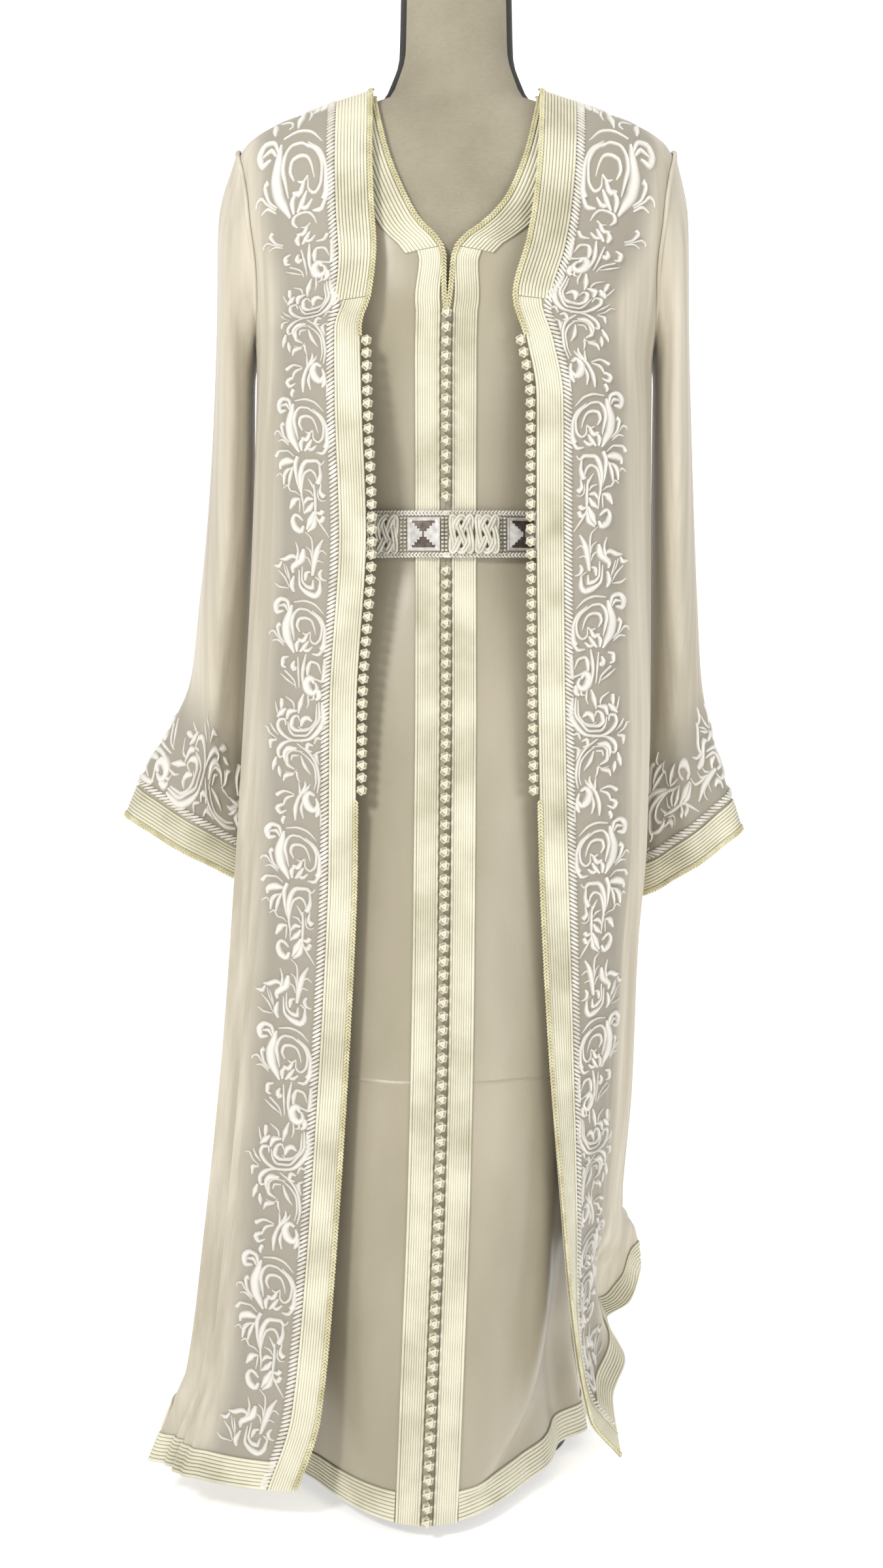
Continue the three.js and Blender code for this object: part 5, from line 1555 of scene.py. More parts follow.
class Gown(Garment):
    """The closed satin under dress with its bands, buttons and corded neck edge."""

    def __init__(self, size: GownSize, finishes: Finishes, repeater: Repeater, shapes: Shapes) -> None:
        """Lays out the gown's panels."""
        super().__init__(finishes, repeater, shapes)
        self.size = size
        self.layer = UnderDress()
        self.fronts = {side: self.layer.front(side, *size.front_grid) for side in Side}
        self.back = self.layer.back(*size.back_grid)
        self.edges = {side: Strip(cloth) for side, cloth in self.fronts.items()}

    def build(self) -> None:
        """Makes the gown's pieces."""
        for side in Side:
            self.build_front(side)
        self.build_back()
        self.build_buttons()

    def build_front(self, side: Side) -> None:
        """One front panel with its bands and neck cord."""
        size, cloth, edge = self.size, self.fronts[side], self.edges[side]
        panel = shell(f"under_satin_front_{side.label}", cloth, self.finishes.satin)
        settle(panel, "satin", f"under_front_{side.label}")
        mitre, slit = (edge.s_at_row(cloth.marks[row]) for row in (size.mitre_row, size.slit_row))
        neck = self.band(edge, "under_neck", side.label, size.neck, 0, mitre)

        def lane(s: Array) -> Array:
            """The gap that opens below the slit for the buttons."""
            return HALF_BUTTON_LANE * smoothstep((s - mitre) / (slit - mitre))

        placket = self.band(
            edge, "under_placket", side.label, size.placket, mitre + SEAM_GAP, edge.length, lane
        )
        foot = Strip(cloth.turned(from_foot=True), HEM_REACH)
        past = HALF_BUTTON_LANE + PLACKET_BAND + 1
        hem = self.band(foot, "under_hem", side.label, size.hem, past, foot.length)
        s = np.arange(2, slit + 4, 2.0)
        cord = self.repeater.lay(
            f"under_neck_cord_{side.label}", [edge.at(s, 0.6, CLOTH + 2.2)], self.shapes.chain,
            size.chain_pitch, self.finishes.cord,
        )
        settle(cord, "braid")
        cloth.area()

    def build_back(self) -> None:
        """The back with its neck and hem bands."""
        panel = shell("under_satin_back", self.back, self.finishes.satin)
        settle(panel, "satin", "under_back")
        bands = self.back_bands(self.back, "under", self.size.neck, self.size.hem)
        self.back.area()

    def build_buttons(self) -> None:
        """Ball buttons down the centre front, above and below the belt."""
        z = np.arange(self.layer.slit - 4, self.layer.hem + 4, -self.size.lane_step)
        middle = []
        for strip in self.edges.values():
            s = np.array([strip.s_at_height(h) for h in z])
            middle.append(strip.at(s, 0.0, CLOTH + SEAM + BUTTON_RADIUS)[0])
        line = (middle[0] + middle[1]) / 2
        clear = BELT_HEIGHT / 2 + self.size.belt_gap
        for name, keep in (("upper", z > BELT_Z + clear), ("lower", z < BELT_Z - clear)):
            self.button_row(
                f"under_ball_buttons_{name}", line[keep], self.size.button_pitch, f"under_buttons_{name}"
            )


def shell(
    name: str, cloth: Cloth, finish: Material, ground: Callable[[Array, Array], Array] | None = None
) -> Piece:
    """A piece of cloth with its thickness, and UVs in millimetres.

    Args:
        name: The piece's name.
        cloth: The cloth.
        finish: Its material.
        ground: How much painted shade darkens the cloth round the embroidery, by the distances across and down it.

    Returns:
        The piece.
    """
    p = cloth.points
    across = np.cumsum(np.linalg.norm(np.diff(p, axis=1, prepend=p[:, :1]), axis=2), axis=1)
    down = np.cumsum(np.linalg.norm(np.diff(p, axis=0, prepend=p[:1]), axis=2), axis=0)
    stock = MeshStock()
    stock.add_shell(cloth, CLOTH, np.stack([across, down], axis=-1))
    piece = stock.build(name, finish)
    # Painted shade round the embroidery, kept on the points for the chiffon to read.
    if ground is not None:
        share = np.tile(ground(across, down).ravel(), 2).astype(np.float32)
        piece.data.attributes.new("ground", "FLOAT", "POINT").data.foreach_set("value", share)
    LOG.info("%s is %.3f square metres", name, cloth.area())
    return piece


# ---- The coat


@dataclass(frozen=True)
class CoatSize:
    """The sizes of the coat's trims. A grid is the step between a panel's rows, and its columns."""

    front_grid: tuple[float, int] = (11.5, 70)
    back_grid: tuple[float, int] = (24.0, 60)
    sleeve_grid: tuple[float, int] = (11.0, 100)
    front_reach: float = 230.0
    neck: BandSize = BandSize(NECK_BAND, 11)
    front: BandSize = BandSize(FRONT_BAND, 8, True)
    hem: BandSize = BandSize(HEM_BAND, 8)
    cuff: BandSize = BandSize(33, 9)
    mitre_row: int = 6
    buttons: tuple[float, float] = (1164, 716)
    button_pitch: float = 12.2
    chain_pitch: float = 3.3
    rope_pitch: float = 4.3
    rope_gap: float = 4.2
    pattern_gap: float = 3.4
    cuff_rope_pitch: float = 5.4
    cuff_rope_gap: float = 7.4
    cuff_pattern_gap: float = 14.0
    cuff_pattern_scale: float = 1.7
    pattern_start: float = 159.0
    piping: float = 2.3
    armhole_fit: float = 0.998
    armhole_lap: float = 0.6
    armhole_ease: float = 1.7
    sleeve_waves: int = 5
    sleeve_fold: float = 4.6


class OpenCoat(Garment):
    """The open chiffon coat with its sleeves, bands, buttons, cords and embroidery."""

    def __init__(self, size: CoatSize, finishes: Finishes, repeater: Repeater, shapes: Shapes) -> None:
        """Lays out the coat's panels."""
        super().__init__(finishes, repeater, shapes)
        self.size = size
        self.layer = Coat()
        self.fronts = {side: self.layer.front(side, *size.front_grid) for side in Side}
        self.back = self.layer.back(*size.back_grid)
        self.edges = {side: Strip(cloth, size.front_reach) for side, cloth in self.fronts.items()}
        self.sleeves = {side: self.sleeve(side, *size.sleeve_grid) for side in Side}

    def build(self) -> None:
        """Makes the coat's pieces."""
        for side in Side:
            self.build_front(side)
            self.build_sleeve(side)
        self.build_back()

    def build_front(self, side: Side) -> None:
        """One front panel with its bands, cords, rope, buttons and embroidery."""
        size, cloth, edge = self.size, self.fronts[side], self.edges[side]
        mitre = edge.s_at_row(cloth.marks[size.mitre_row])
        # The chiffon takes painted shade in a band round the embroidery down the front.
        panel = shell(
            f"coat_chiffon_front_{side.label}", cloth, self.finishes.chiffon,
            lambda t, s: smoothstep((t - 27) / 6) * (1 - smoothstep((t - 22 - 56 * self.wide(s)) / 34)),
        )
        settle(panel, "chiffon", f"coat_front_{side.label}")
        neck = self.band(edge, "coat_neck", side.label, size.neck, 0, mitre)
        front = self.band(edge, "coat_front", side.label, size.front, mitre + SEAM_GAP, edge.length)
        foot = Strip(cloth.turned(from_foot=True), HEM_REACH)
        hem = self.band(foot, "coat_hem", side.label, size.hem, FRONT_BAND + 1, foot.length)
        trims = [neck, front, hem, self.build_cord(side), self.build_rope(side, mitre)]
        self.build_buttons(side)
        trims.append(self.build_embroidery(side, mitre))
        cloth.area()

    def build_cord(self, side: Side) -> Piece:
        """The chain cord on the edge, above and below the row of buttons."""
        edge, size = self.edges[side], self.size
        top, bottom = (edge.s_at_height(z) for z in size.buttons)
        paths = []
        for start, end in ((2, top - 6), (bottom + 8, edge.length - 2)):
            s = np.arange(start, end, 4.2)
            paths.append(edge.at(s, 0.3, CLOTH + 2.0))
        cord = self.repeater.lay(
            f"coat_edge_cord_{side.label}", paths, self.shapes.chain, size.chain_pitch, self.finishes.cord
        )
        return settle(cord, "braid")

    def inner(self, s: Array, mitre: float) -> Array:
        """How far in from the edge the bands end."""
        return lerp(NECK_BAND, FRONT_BAND, smoothstep((s - mitre + 25) / 40))

    def build_rope(self, side: Side, mitre: float) -> Piece:
        """The row of slanting satin-stitch bars beside the bands."""
        edge, size = self.edges[side], self.size
        s = np.arange(3, edge.length - 3, 3.0)
        path = edge.at(s, self.inner(s, mitre) + size.rope_gap, CLOTH + 0.6)
        rope = self.repeater.lay(
            f"coat_stitched_rope_{side.label}", [path], self.shapes.bar[side], size.rope_pitch, self.finishes.stitch
        )
        return settle(rope, "braid")

    def build_buttons(self, side: Side) -> None:
        """The row of ball buttons on the inner side of the front edge."""
        edge, size = self.edges[side], self.size
        z = np.arange(size.buttons[0], size.buttons[1], -4.0)
        s = np.array([edge.s_at_height(h) for h in z])
        line = edge.at(s, 0.0, CLOTH)[0] - (side.value * (BUTTON_RADIUS + SEAM), 0, 0)
        self.button_row(
            f"coat_ball_buttons_{side.label}", line, size.button_pitch, f"coat_buttons_{side.label}"
        )

    def build_embroidery(self, side: Side, mitre: float) -> Piece:
        """The raised satin-stitch scrolls and leaves down the front."""
        edge = self.edges[side]
        stitches = Embroidery(lambda s, t, lift: edge.at(s, t, lift)[0])
        first = NECK_BAND + self.size.rope_gap + self.size.pattern_gap
        stitches.add_all(ROSE.strokes, lambda s, t: (8 + s * 1.25, first + t * 1.4), (3.0, 80.0), 1.1)
        stitches.add_all(SCROLL.strokes, lambda s, t: (78 + s * 1.85, first + t * 1.4), (70.0, 204.0), 0.85)
        start, n = self.size.pattern_start, 2
        while start < edge.length:
            motif = PATTERN[n % len(PATTERN)]
            stitches.add_all(
                motif.strokes,
                lambda s, t, start=start: self.front_place(s + start, t, mitre),
                (174.0, edge.length - 31.0),
            )
            start, n = start + motif.length, n + 1
        piece = stitches.stock.build(f"coat_embroidery_{side.label}", self.finishes.satin_stitch)
        return settle(piece, "braid")

    def front_place(self, s: Array, t: Array, mitre: float) -> tuple[Array, Array]:
        """Where a motif's point lies on the front. The motif is wider over the shoulder."""
        return s, self.inner(s, mitre) + self.size.rope_gap + self.size.pattern_gap + t * self.wide(s)

    def wide(self, s: Array) -> Array:
        """How much wider than further down the pattern is at a distance from the shoulder."""
        return lerp(1.5, 1.1, smoothstep((s - 90) / 230))

    def build_back(self) -> None:
        """The back with its neck and hem bands."""
        panel = shell("coat_chiffon_back", self.back, self.finishes.chiffon)
        settle(panel, "chiffon", "coat_back")
        bands = self.back_bands(self.back, "coat", self.size.neck, self.size.hem)
        self.back.area()

    def armhole_ring(self, side: Side, angle: Array) -> Array:
        """The sleeve's first ring, which stands on the coat round the armhole."""
        layer, size = self.layer, self.size
        middle, half = (layer.tip + layer.underarm) / 2, (layer.tip - layer.underarm) / 2
        z = middle + half * np.cos(angle) * size.armhole_fit
        ring = np.empty((len(angle), 3))
        for face in (-1, 1):
            use = (np.sin(angle) >= 0) == (face == -1)
            turn = layer.side_turn(z[use], face) + face * size.armhole_lap
            away = outward(layer, side, turn, z[use])
            ring[use] = layer.point(side, turn, z[use]) + away * (CLOTH + size.armhole_ease)
        return ring

    def sleeve(self, side: Side, step: float, sides: int) -> Cloth:
        """A sleeve as rings from the armhole to the cuff. Its columns start at the outermost line."""
        size, table = self.size, SLEEVES[side]
        angle = np.linspace(0, 2 * math.pi, sides, endpoint=False)
        rings = [self.armhole_ring(side, angle)]
        for i, (out_x, out_z, in_x, in_z, y, half) in enumerate(table.rows):
            outer, inner = np.array([side.value * out_x, y, out_z]), np.array([side.value * in_x, y, in_z])
            middle = (outer + inner) / 2
            wave = np.sin(size.sleeve_waves * angle) * np.abs(np.sin(angle))
            depth = half + size.sleeve_fold * i / len(table.rows) * wave
            across = middle + (outer - middle) * np.cos(angle)[:, None]
            rings.append(across + np.stack([0 * angle, -np.sin(angle) * depth, 0 * angle], axis=-1))
        heights = [ring[:, 2].mean() for ring in rings]
        counts = [max(2, math.ceil((a - b) / step)) for a, b in zip(heights, heights[1:])]
        parts = [np.linspace(i, i + 1, count, endpoint=False) for i, count in enumerate(counts)]
        at = np.append(np.concatenate(parts), len(rings) - 1.0)
        points = Profile(np.arange(len(rings)), np.stack(rings).reshape(len(rings), -1))(at)
        return Cloth.of(points.reshape(len(at), sides, 3), -side.value, closed=True)

    def build_sleeve(self, side: Side) -> None:
        """One sleeve with its cuff band, cords, rope, embroidery and armhole piping."""
        size, cloth = self.size, self.sleeves[side]
        # The chiffon takes painted shade in a band round the cuff's embroidery.
        panel = shell(
            f"coat_chiffon_sleeve_{side.label}", cloth, self.finishes.chiffon,
            lambda _, down: smoothstep((down[-1] - down - 32) / 6) * (1 - smoothstep((down[-1] - down - 110) / 70)),
        )
        settle(panel, "chiffon", f"coat_sleeve_{side.label}")
        cuff = Strip(cloth.ringed().turned(from_foot=True))
        band = self.band(cuff, "coat_cuff", side.label, size.cuff, 0, cuff.length, closed=True)
        s = np.arange(0, cuff.length, 2.0)
        cord = self.repeater.lay(
            f"coat_cuff_cord_{side.label}", [cuff.at(s, 0.4, CLOTH + 1.8)], self.shapes.chain,
            size.chain_pitch, self.finishes.cord,
        )
        rope = self.repeater.lay(
            f"coat_cuff_rope_{side.label}", [cuff.at(s, size.cuff.width + size.cuff_rope_gap, CLOTH + 0.6)],
            self.shapes.cuff_bar[side], size.cuff_rope_pitch, self.finishes.stitch,
        )
        piping = MeshStock()
        piping.add_tube(cloth.points[0] + cloth.normals[0] * CLOTH / 2, size.piping, closed=True)
        seam = piping.build(f"coat_armhole_piping_{side.label}", self.finishes.chiffon)
        stitches = Embroidery(lambda s, t, lift: cuff.at(np.mod(s, cuff.length), t, lift)[0])
        stretch = cuff.length / sum(motif.length for motif in CUFF_PATTERN)
        foot = size.cuff.width + size.cuff_pattern_gap
        start = 0.0
        for motif in CUFF_PATTERN:
            stitches.add_all(
                motif.strokes,
                lambda s, t, start=start: (
                    (s + start) * stretch * -side.value, foot + t * size.cuff_pattern_scale
                ),
                (-math.inf, math.inf),
            )
            start += motif.length
        cuff_stitches = stitches.stock.build(f"coat_cuff_embroidery_{side.label}", self.finishes.satin_stitch)
        trims = [band, settle(cord, "braid"), settle(rope, "braid"), settle(seam, "chiffon")]
        trims.append(settle(cuff_stitches, "braid"))
        cloth.area()


def outward(layer: Layer, side: Side, turn: Array, z: Array) -> Array:
    """The outward normal of a layer."""
    low, high = np.maximum(0.01, turn - 0.4), np.minimum(179.99, turn + 0.4)
    across = layer.point(side, high, z) - layer.point(side, low, z)
    down = layer.point(side, turn, z + 1.5) - layer.point(side, turn, z - 1.5)
    return unit(np.cross(across, down)) * side.value


# ---- Embroidery


@dataclass(frozen=True)
class Stroke:
    """One raised stroke of satin stitch: a line through some points, and its width along it."""

    points: tuple[tuple[float, float], ...]
    widths: tuple[float, ...]
    height: float = 2.7

    def line(self, step: float = 2.6) -> tuple[Array, Array]:
        """Even places on the line, and the widths there."""
        p = np.array(self.points, float)
        gaps = np.linalg.norm(np.diff(p, axis=0), axis=1)
        at = np.concatenate([[0.0], np.cumsum(gaps)])
        count = max(5, math.ceil(at[-1] / step))
        where = np.linspace(0, at[-1], count + 1)
        shares = np.linspace(0, at[-1], len(self.widths))
        return Profile(at, p)(where), np.interp(where, shares, self.widths)


class Motif:
    """A block of the embroidered pattern. Its s runs down the front, and its t runs out from the rope."""

    def __init__(self, length: float, drawn: str) -> None:
        """Reads the block's strokes.

        Args:
            length: How far the next block lies on.
            drawn: Stroke by stroke, the places that it runs through, and after a / its widths along them.
        """
        self.length = length
        self.strokes = []
        for stroke in drawn.split(";"):
            places, widths = stroke.split("/")
            points = tuple(tuple(float(v) for v in place.split(",")) for place in places.split())
            self.strokes.append(Stroke(points, tuple(float(v) for v in widths.split())))


# A great scroll with a plump crescent on its outer side
SCROLL = Motif(60, """
15,4 5,14 2,24 3,34 / 0.8 2 2.2 1.4 ; 12,15 22,5 34,1 46,1 51,3 / 1 2.6 3 3.6 5.6 ;
12,18 20,8 30,4 40,5 45,10 40,15 33,15 / 1.4 2.6 2.8 2.4 2.6 1.8 0.8 ;
16,14 11,20 10,27 15,33 23,35 32,33 42,31 / 1 2.2 2.4 3.4 3.4 2.4 1 ;
36,10 28,12 21,16 19,22 20,27 26,29 33,26 / 0.8 1.6 2 2.6 3.2 2.8 1.2 ; 33,15 36,19 34,23 / 1.6 2.4 1 ;
6,36 14,38 27,41 38,39 47,34 54,30 / 2 6.5 8.6 8.4 5.6 2 ;
11,38 2,42 0,49 6,55 13,52 12,45 / 2.4 3.2 3.8 6.4 5 2 ; 12,40 6,45 7,52 / 2 3.6 1.6 ;
36,18 42,22 40,27 / 2.4 4.8 2 ; 42,16 48,20 53,24 / 1.6 4.4 2.2 ; 40,24 46,28 53,27 / 2 4.4 2 ;
48,12 52,17 50,22 / 1.6 3.6 1.8 ; 44,41 37,48 27,51 25,48 / 1.2 1.8 3 4.4 ;
45,42 38,50 32,56 33,60 36,61 / 1 1.6 2 2.6 1.4 ; 47,42 41,51 42,56 / 1 2.2 1.4 ;
51,2 56,6 55,12 / 3.2 3.4 1.4
""")
# An arch, a stem of drop leaves, and a hook below
STEM = Motif(140, """
3,5 7,8 3,13 3,22 10,28 22,30 34,29 / 1.2 3 3.4 4.4 4.8 3.8 1.4 ;
27,12 17,14 12,19 15,25 25,28 35,29 47,27 55,27 / 1 2 2.6 2.4 2 2.2 2 0.8 ; 6,10 16,9 26,12 / 1.6 3 5.2 ;
26,9 34,10 39,6 / 1.2 3 4.6 ; 31,13 40,12 43,8 42,5 / 0.8 1.6 1.6 1 ;
26,16 42,15 56,15 63,12 71,7 79,2 / 1.4 2.6 2.6 2 1.8 0.8 ; 20,22 26,18 33,15 / 0.8 2 1.4 ;
31,26 33,20 38,17 / 0.8 2 1.2 ; 41,17 40,22 46,27 / 2 4.4 1 ; 44,17 49,20 55,27 / 2.2 5.4 1.2 ;
53,16 62,20 71,24 / 2.6 6.4 1.8 ; 58,15 67,17 73,23 / 2.4 5 1.6 ; 52,8 55,10 54,15 / 4 4.2 1.2 ;
58,7 63,10 60,14 / 3.6 4.2 1.2 ; 62,28 57,33 56,36 61,39 69,36 72,30 67,27 / 1.6 2.8 3.4 5 5.4 5 2.6 ;
-2,32 7,35 17,34 27,32 34,30 / 3.4 4 3.2 2.4 1.2 ; 3,36 2,45 6,53 10,53 / 2.4 6.2 6.2 2.2 ;
8,37 17,41 27,43 / 2 3.8 1.6 ; 11,43 17,48 26,49 / 2.2 4 1.6 ; 9,38 12,46 15,50 / 1.4 3.2 1.4 ;
-2,36 -8,45 -8,54 -3,59 / 1 1.6 2.4 4.4 ; 18,50 14,54 17,59 / 1.2 2.2 1.2 ;
37,31 33,36 32,41 26,45 29,50 / 0.8 1.6 1.6 2 1.2 ; 40,31 41,36 50,42 / 1.6 6.4 1.6 ;
54,32 46,31 40,31 / 0.8 1.6 1.4 ; 81,8 91,13 106,16 117,17 / 1.6 5 4.6 2.6 ; 96,4 92,9 97,14 / 0.8 1.8 1.2 ;
104,7 102,12 108,16 / 0.8 1.8 1.2 ; 73,26 81,19 91,18 107,18 / 0.8 1.6 1.8 1 ;
88,25 92,20 102,18 / 0.8 1.8 1 ; 97,26 101,21 107,19 / 0.8 1.8 1 ;
111,31 126,29 134,21 137,13 131,9 123,9 118,14 / 1.2 2.2 2.8 4.8 5 2.4 1.2 ;
107,28 121,27 128,21 129,16 121,16 / 1 2 2.4 4.2 1.4 ; 113,19 114,23 122,24 / 1.8 4.4 1.6 ;
111,8 115,10 121,7 122,3 / 2.2 3.6 2.4 1.2 ; 90,27 101,29 104,33 109,38 114,37 / 2.6 6 5.4 5.6 1.8 ;
100,32 97,39 100,48 100,53 / 2 4 4.4 1.8 ; 102,51 107,54 106,61 / 1.8 4.6 1 ; 83,36 91,33 99,32 / 0.8 2 1.6 ;
106,36 97,33 90,33 / 1.2 3 1 ; 117,36 126,38 133,35 / 1.8 5 1.8 ; 128,41 119,46 111,55 / 0.8 2 1 ;
129,41 128,51 124,58 / 0.8 2.2 1.2 ; 106,46 116,42 124,40 / 0.8 1.8 0.8 ; 104,49 112,46 120,42 / 0.8 1.6 0.8
""")
# A rose, a hanging scroll, a rising one and a spiked flower
ROSE = Motif(167, """
-5,18 15,20 27,18 35,13 / 1.4 3.4 2.4 1.4 ; -2,26 17,24 29,23 / 1.2 2.2 1 ; 0,-1 12,-1 23,0 / 2.8 4 3.2 ;
15,2 5,6 3,12 10,15 17,15 / 0.8 2.2 2.6 4 2 ; 23,0 20,8 18,11 22,14 / 2.6 1.8 2 1.4 ;
25,8 19,12 24,16 31,14 34,9 30,5 24,7 / 2 5 6.4 6.8 5.6 3.6 2 ; 31,3 38,3 41,6 / 3 5.6 2.4 ;
36,8 40,8 41,12 / 1.8 2.6 1 ; 2,29 7,31 11,28 8,27 / 1.6 4.4 4.4 1.6 ; -2,36 0,42 7,42 9,38 / 1.6 4.2 4 1.6 ;
12,39 23,28 30,26 / 1.8 1.8 0.8 ; 15,44 21,36 27,27 / 1 2 0.8 ; 35,14 44,13 50,15 / 1.2 2 0.8 ;
43,0 60,-2 73,4 81,14 82,26 77,38 67,45 61,42 61,37 67,36 / 2.2 4.2 4.8 4.4 2.8 2.4 2.8 3.6 3.2 1.4 ;
43,3 58,2 69,8 77,16 77,26 71,32 63,34 / 1.6 2.6 2.8 2.6 2.4 2.4 1.2 ;
45,5 59,5 67,9 72,16 72,24 67,30 59,28 57,24 63,21 / 1.2 2 2.2 2.2 2.2 3.4 4.2 2.6 1 ;
63,9 59,14 61,18 68,20 / 1.2 4.6 4.6 1.6 ; 68,10 71,18 68,23 / 1 2.2 1 ; 52,24 53,32 61,35 / 1.6 5.6 2 ;
35,18 45,21 55,23 / 1.4 4.6 1.2 ; 38,37 45,28 50,27 52,30 / 0.8 1.8 1.8 1 ; 40,41 48,41 52,41 / 3 4 1.4 ;
50,36 57,44 59,46 / 2 5.8 1.6 ; 43,49 53,46 60,44 / 0.8 2 0.8 ; 77,44 71,50 65,54 / 1 2.4 1 ;
81,46 75,54 69,58 69,63 / 0.8 1.6 2 0.8 ; 82,46 83,53 91,53 / 1.6 4.6 1.4 ;
83,18 82,28 85,38 93,44 99,42 97,36 93,35 / 1.2 2 2.6 4.4 3.8 2.2 1 ;
90,24 90,32 96,37 104,36 / 2 5.2 4.2 1.4 ; 93,18 92,28 97,34 105,34 111,26 / 0.8 1.8 2 3.6 1.2 ;
97,22 97,28 102,30 / 1.2 2.4 1.2 ; 81,-1 79,4 85,7 / 1.6 3 1.4 ; 87,8 85,13 91,14 93,9 / 1.6 3.6 3.6 1.6 ;
92,0 95,5 103,3 / 1.4 3.2 1.2 ; 95,8 99,5 106,2 / 1.2 2.8 0.8 ;
85,24 95,11 108,4 122,2 134,4 / 1.2 2.2 2.6 2.8 1.4 ; 92,22 100,12 110,6 122,5 131,7 / 0.8 1.8 2.2 2 1 ;
97,20 107,16 116,10 / 1.2 3.4 0.8 ; 99,46 108,49 113,50 / 2 4.8 1.2 ; 108,43 114,42 119,41 / 1.6 4.2 1 ;
111,24 115,28 113,36 / 0.8 1.8 0.8 ; 116,27 117,35 123,38 / 1.6 4.6 1 ; 113,24 119,23 124,21 / 2.2 1.8 0.8 ;
134,18 126,15 122,16 / 3.6 3.2 0.8 ; 134,17 128,12 125,11 / 3.2 2.6 0.8 ; 135,20 128,21 124,22 / 3 2 0.8 ;
131,16 140,22 152,25 162,25 / 3.4 3.2 4 1.4 ; 137,26 140,34 148,38 / 1.6 3.2 1.6 ;
136,26 133,36 137,45 / 1.2 2.4 4 ; 146,38 150,44 155,40 152,34 / 2.4 5 3.4 1.2 ;
158,36 163,38 166,37 / 3.2 4 1.6 ; 137,6 134,11 140,15 148,12 151,7 146,3 139,5 / 2 4.4 6.2 6.4 5.2 3.6 1.8 ;
148,2 154,3 158,5 / 2.6 5 2 ; 140,17 150,19 160,17 / 1.2 3 1.2 ; 152,1 160,0 168,1 / 1 2.2 1.2
""")
PATTERN = (SCROLL, STEM, SCROLL, ROSE)
CUFF_PATTERN = (ROSE, STEM)


class Embroidery:
    """Raised strokes laid on a piece of cloth."""

    ACROSS = np.array([-1.0, -0.52, 0.0, 0.52, 1.0])
    PLUMP, STITCH_V, FULL_WIDTH, SUNK = 1.7, 0.8, 4.4, 0.35

    def __init__(self, on_cloth: Callable[[Array, Array, Array], Array]) -> None:
        """Keeps the way from a place and a lift to a point."""
        self.on_cloth = on_cloth
        self.stock = MeshStock()

    def add_all(
        self,
        strokes: list[Stroke],
        place: Callable[[Array, Array], tuple[Array, Array]],
        limits: tuple[float, float],
        plump: float = 1.0,
    ) -> None:
        """Adds the strokes that lie within some limits.

        Args:
            strokes: The strokes, in their own frame.
            place: The way from that frame to the cloth's.
            limits: The least and the greatest s.
            plump: How much wider the strokes are than drawn.
        """
        for stroke in strokes:
            line, widths = stroke.line()
            widths = widths * plump * self.PLUMP
            ahead = unit(np.gradient(line, axis=0))
            aside = np.stack([-ahead[:, 1], ahead[:, 0]], axis=1)
            flat = line[:, None] + aside[:, None] * (widths[:, None] / 2 * self.ACROSS)[..., None]
            s, t = place(flat[..., 0], flat[..., 1])
            if s.min() < limits[0] or s.max() > limits[1]:
                continue
            ridge = 1 - np.abs(self.ACROSS) ** 1.35
            height = self.SUNK + stroke.height * np.minimum(1, widths / self.FULL_WIDTH)[:, None]
            rise = CLOTH - self.SUNK + height * ridge
            upper = self.on_cloth(s, t, rise)
            lower = self.on_cloth(s[:, 2:3], t[:, 2:3], np.full((len(s), 1), CLOTH - 0.6))
            along = np.concatenate([[0], np.cumsum(np.linalg.norm(np.diff(line, axis=0), axis=1))])
            uv = pairs(along[:, None], np.append(self.ACROSS, 0) * self.STITCH_V)
            self.stock.add_loft(np.concatenate([upper, lower], axis=1), uv)


# ---- The belt


@dataclass(frozen=True)
class BeltSize:
    """The sizes of the belt's plaques and knots."""

    units: int = 8
    first: float = -22.0
    seat: float = 3.9
    plaque: float = 33.0
    plaque_rise: float = 6.0
    strip_gap: float = 4.2
    knot_span: float = 25.5
    knot_reach: tuple[float, float] = (9.8, 17.2)
    knot_weave: float = 1.5
    pad_half: float = 27.0
    step: float = 2.7
    steps: int = 5
    chain_pitch: float = 3.6
    coil_pitch: float = 3.7
    cord: float = 1.6


class BeltLine:
    """The line round the waist that the belt follows. Distances run from the centre front to the right."""

    def __init__(self, layer: UnderDress, seat: float) -> None:
        """Measures the waist.

        Args:
            layer: The under dress.
            seat: How far the belt lies out from the gown's inner face.
        """
        turn = np.linspace(0.01, 179.99, 181)
        self.rings = []
        for z in (BELT_Z - BELT_HEIGHT / 2, BELT_Z, BELT_Z + BELT_HEIGHT / 2):
            halves = []
            for side in (Side.RIGHT, Side.LEFT):
                place = np.full_like(turn, z)
                ring = layer.point(side, turn, place) + outward(layer, side, turn, place) * seat
                ring[:, 2] = z
                halves.append(ring)
            self.rings.append(np.concatenate([halves[0], halves[1][::-1]]))
        closed = np.concatenate([self.rings[1], self.rings[1][:1]])
        self.at_ring = np.concatenate([[0.0], np.cumsum(np.linalg.norm(np.diff(closed, axis=0), axis=1))])
        self.total = float(self.at_ring[-1])

    def at(self, distance: Array | float, height: Array | float, lift: Array | float) -> tuple[Array, Array]:
        """Places on the belt. Arrays and single numbers can be mixed.

        Args:
            distance: Distances along the belt.
            height: Heights over its middle.
            lift: How far out from the strap's inner face.

        Returns:
            The points, and the outward directions there.
        """
        distance, height, lift = np.broadcast_arrays(distance, height, lift)
        count = len(self.rings[1])
        i = np.interp(np.mod(distance, self.total), self.at_ring, np.arange(count + 1))
        rings = [np.concatenate([ring, ring[:1]]) for ring in self.rings]
        row = 1 + height / (BELT_HEIGHT / 2)
        grid = np.stack(rings, axis=1)
        point = bilinear(grid, i, np.clip(row, 0, 2))
        point[..., 2] = BELT_Z + height
        before, after = (bilinear(grid, np.mod(i + step, count), np.full_like(i, 1.0)) for step in (-3, 3))
        ahead = after - before
        away = unit(np.stack([ahead[..., 1], -ahead[..., 0], np.zeros_like(i)], axis=-1))
        return point + away * lift[..., None], away


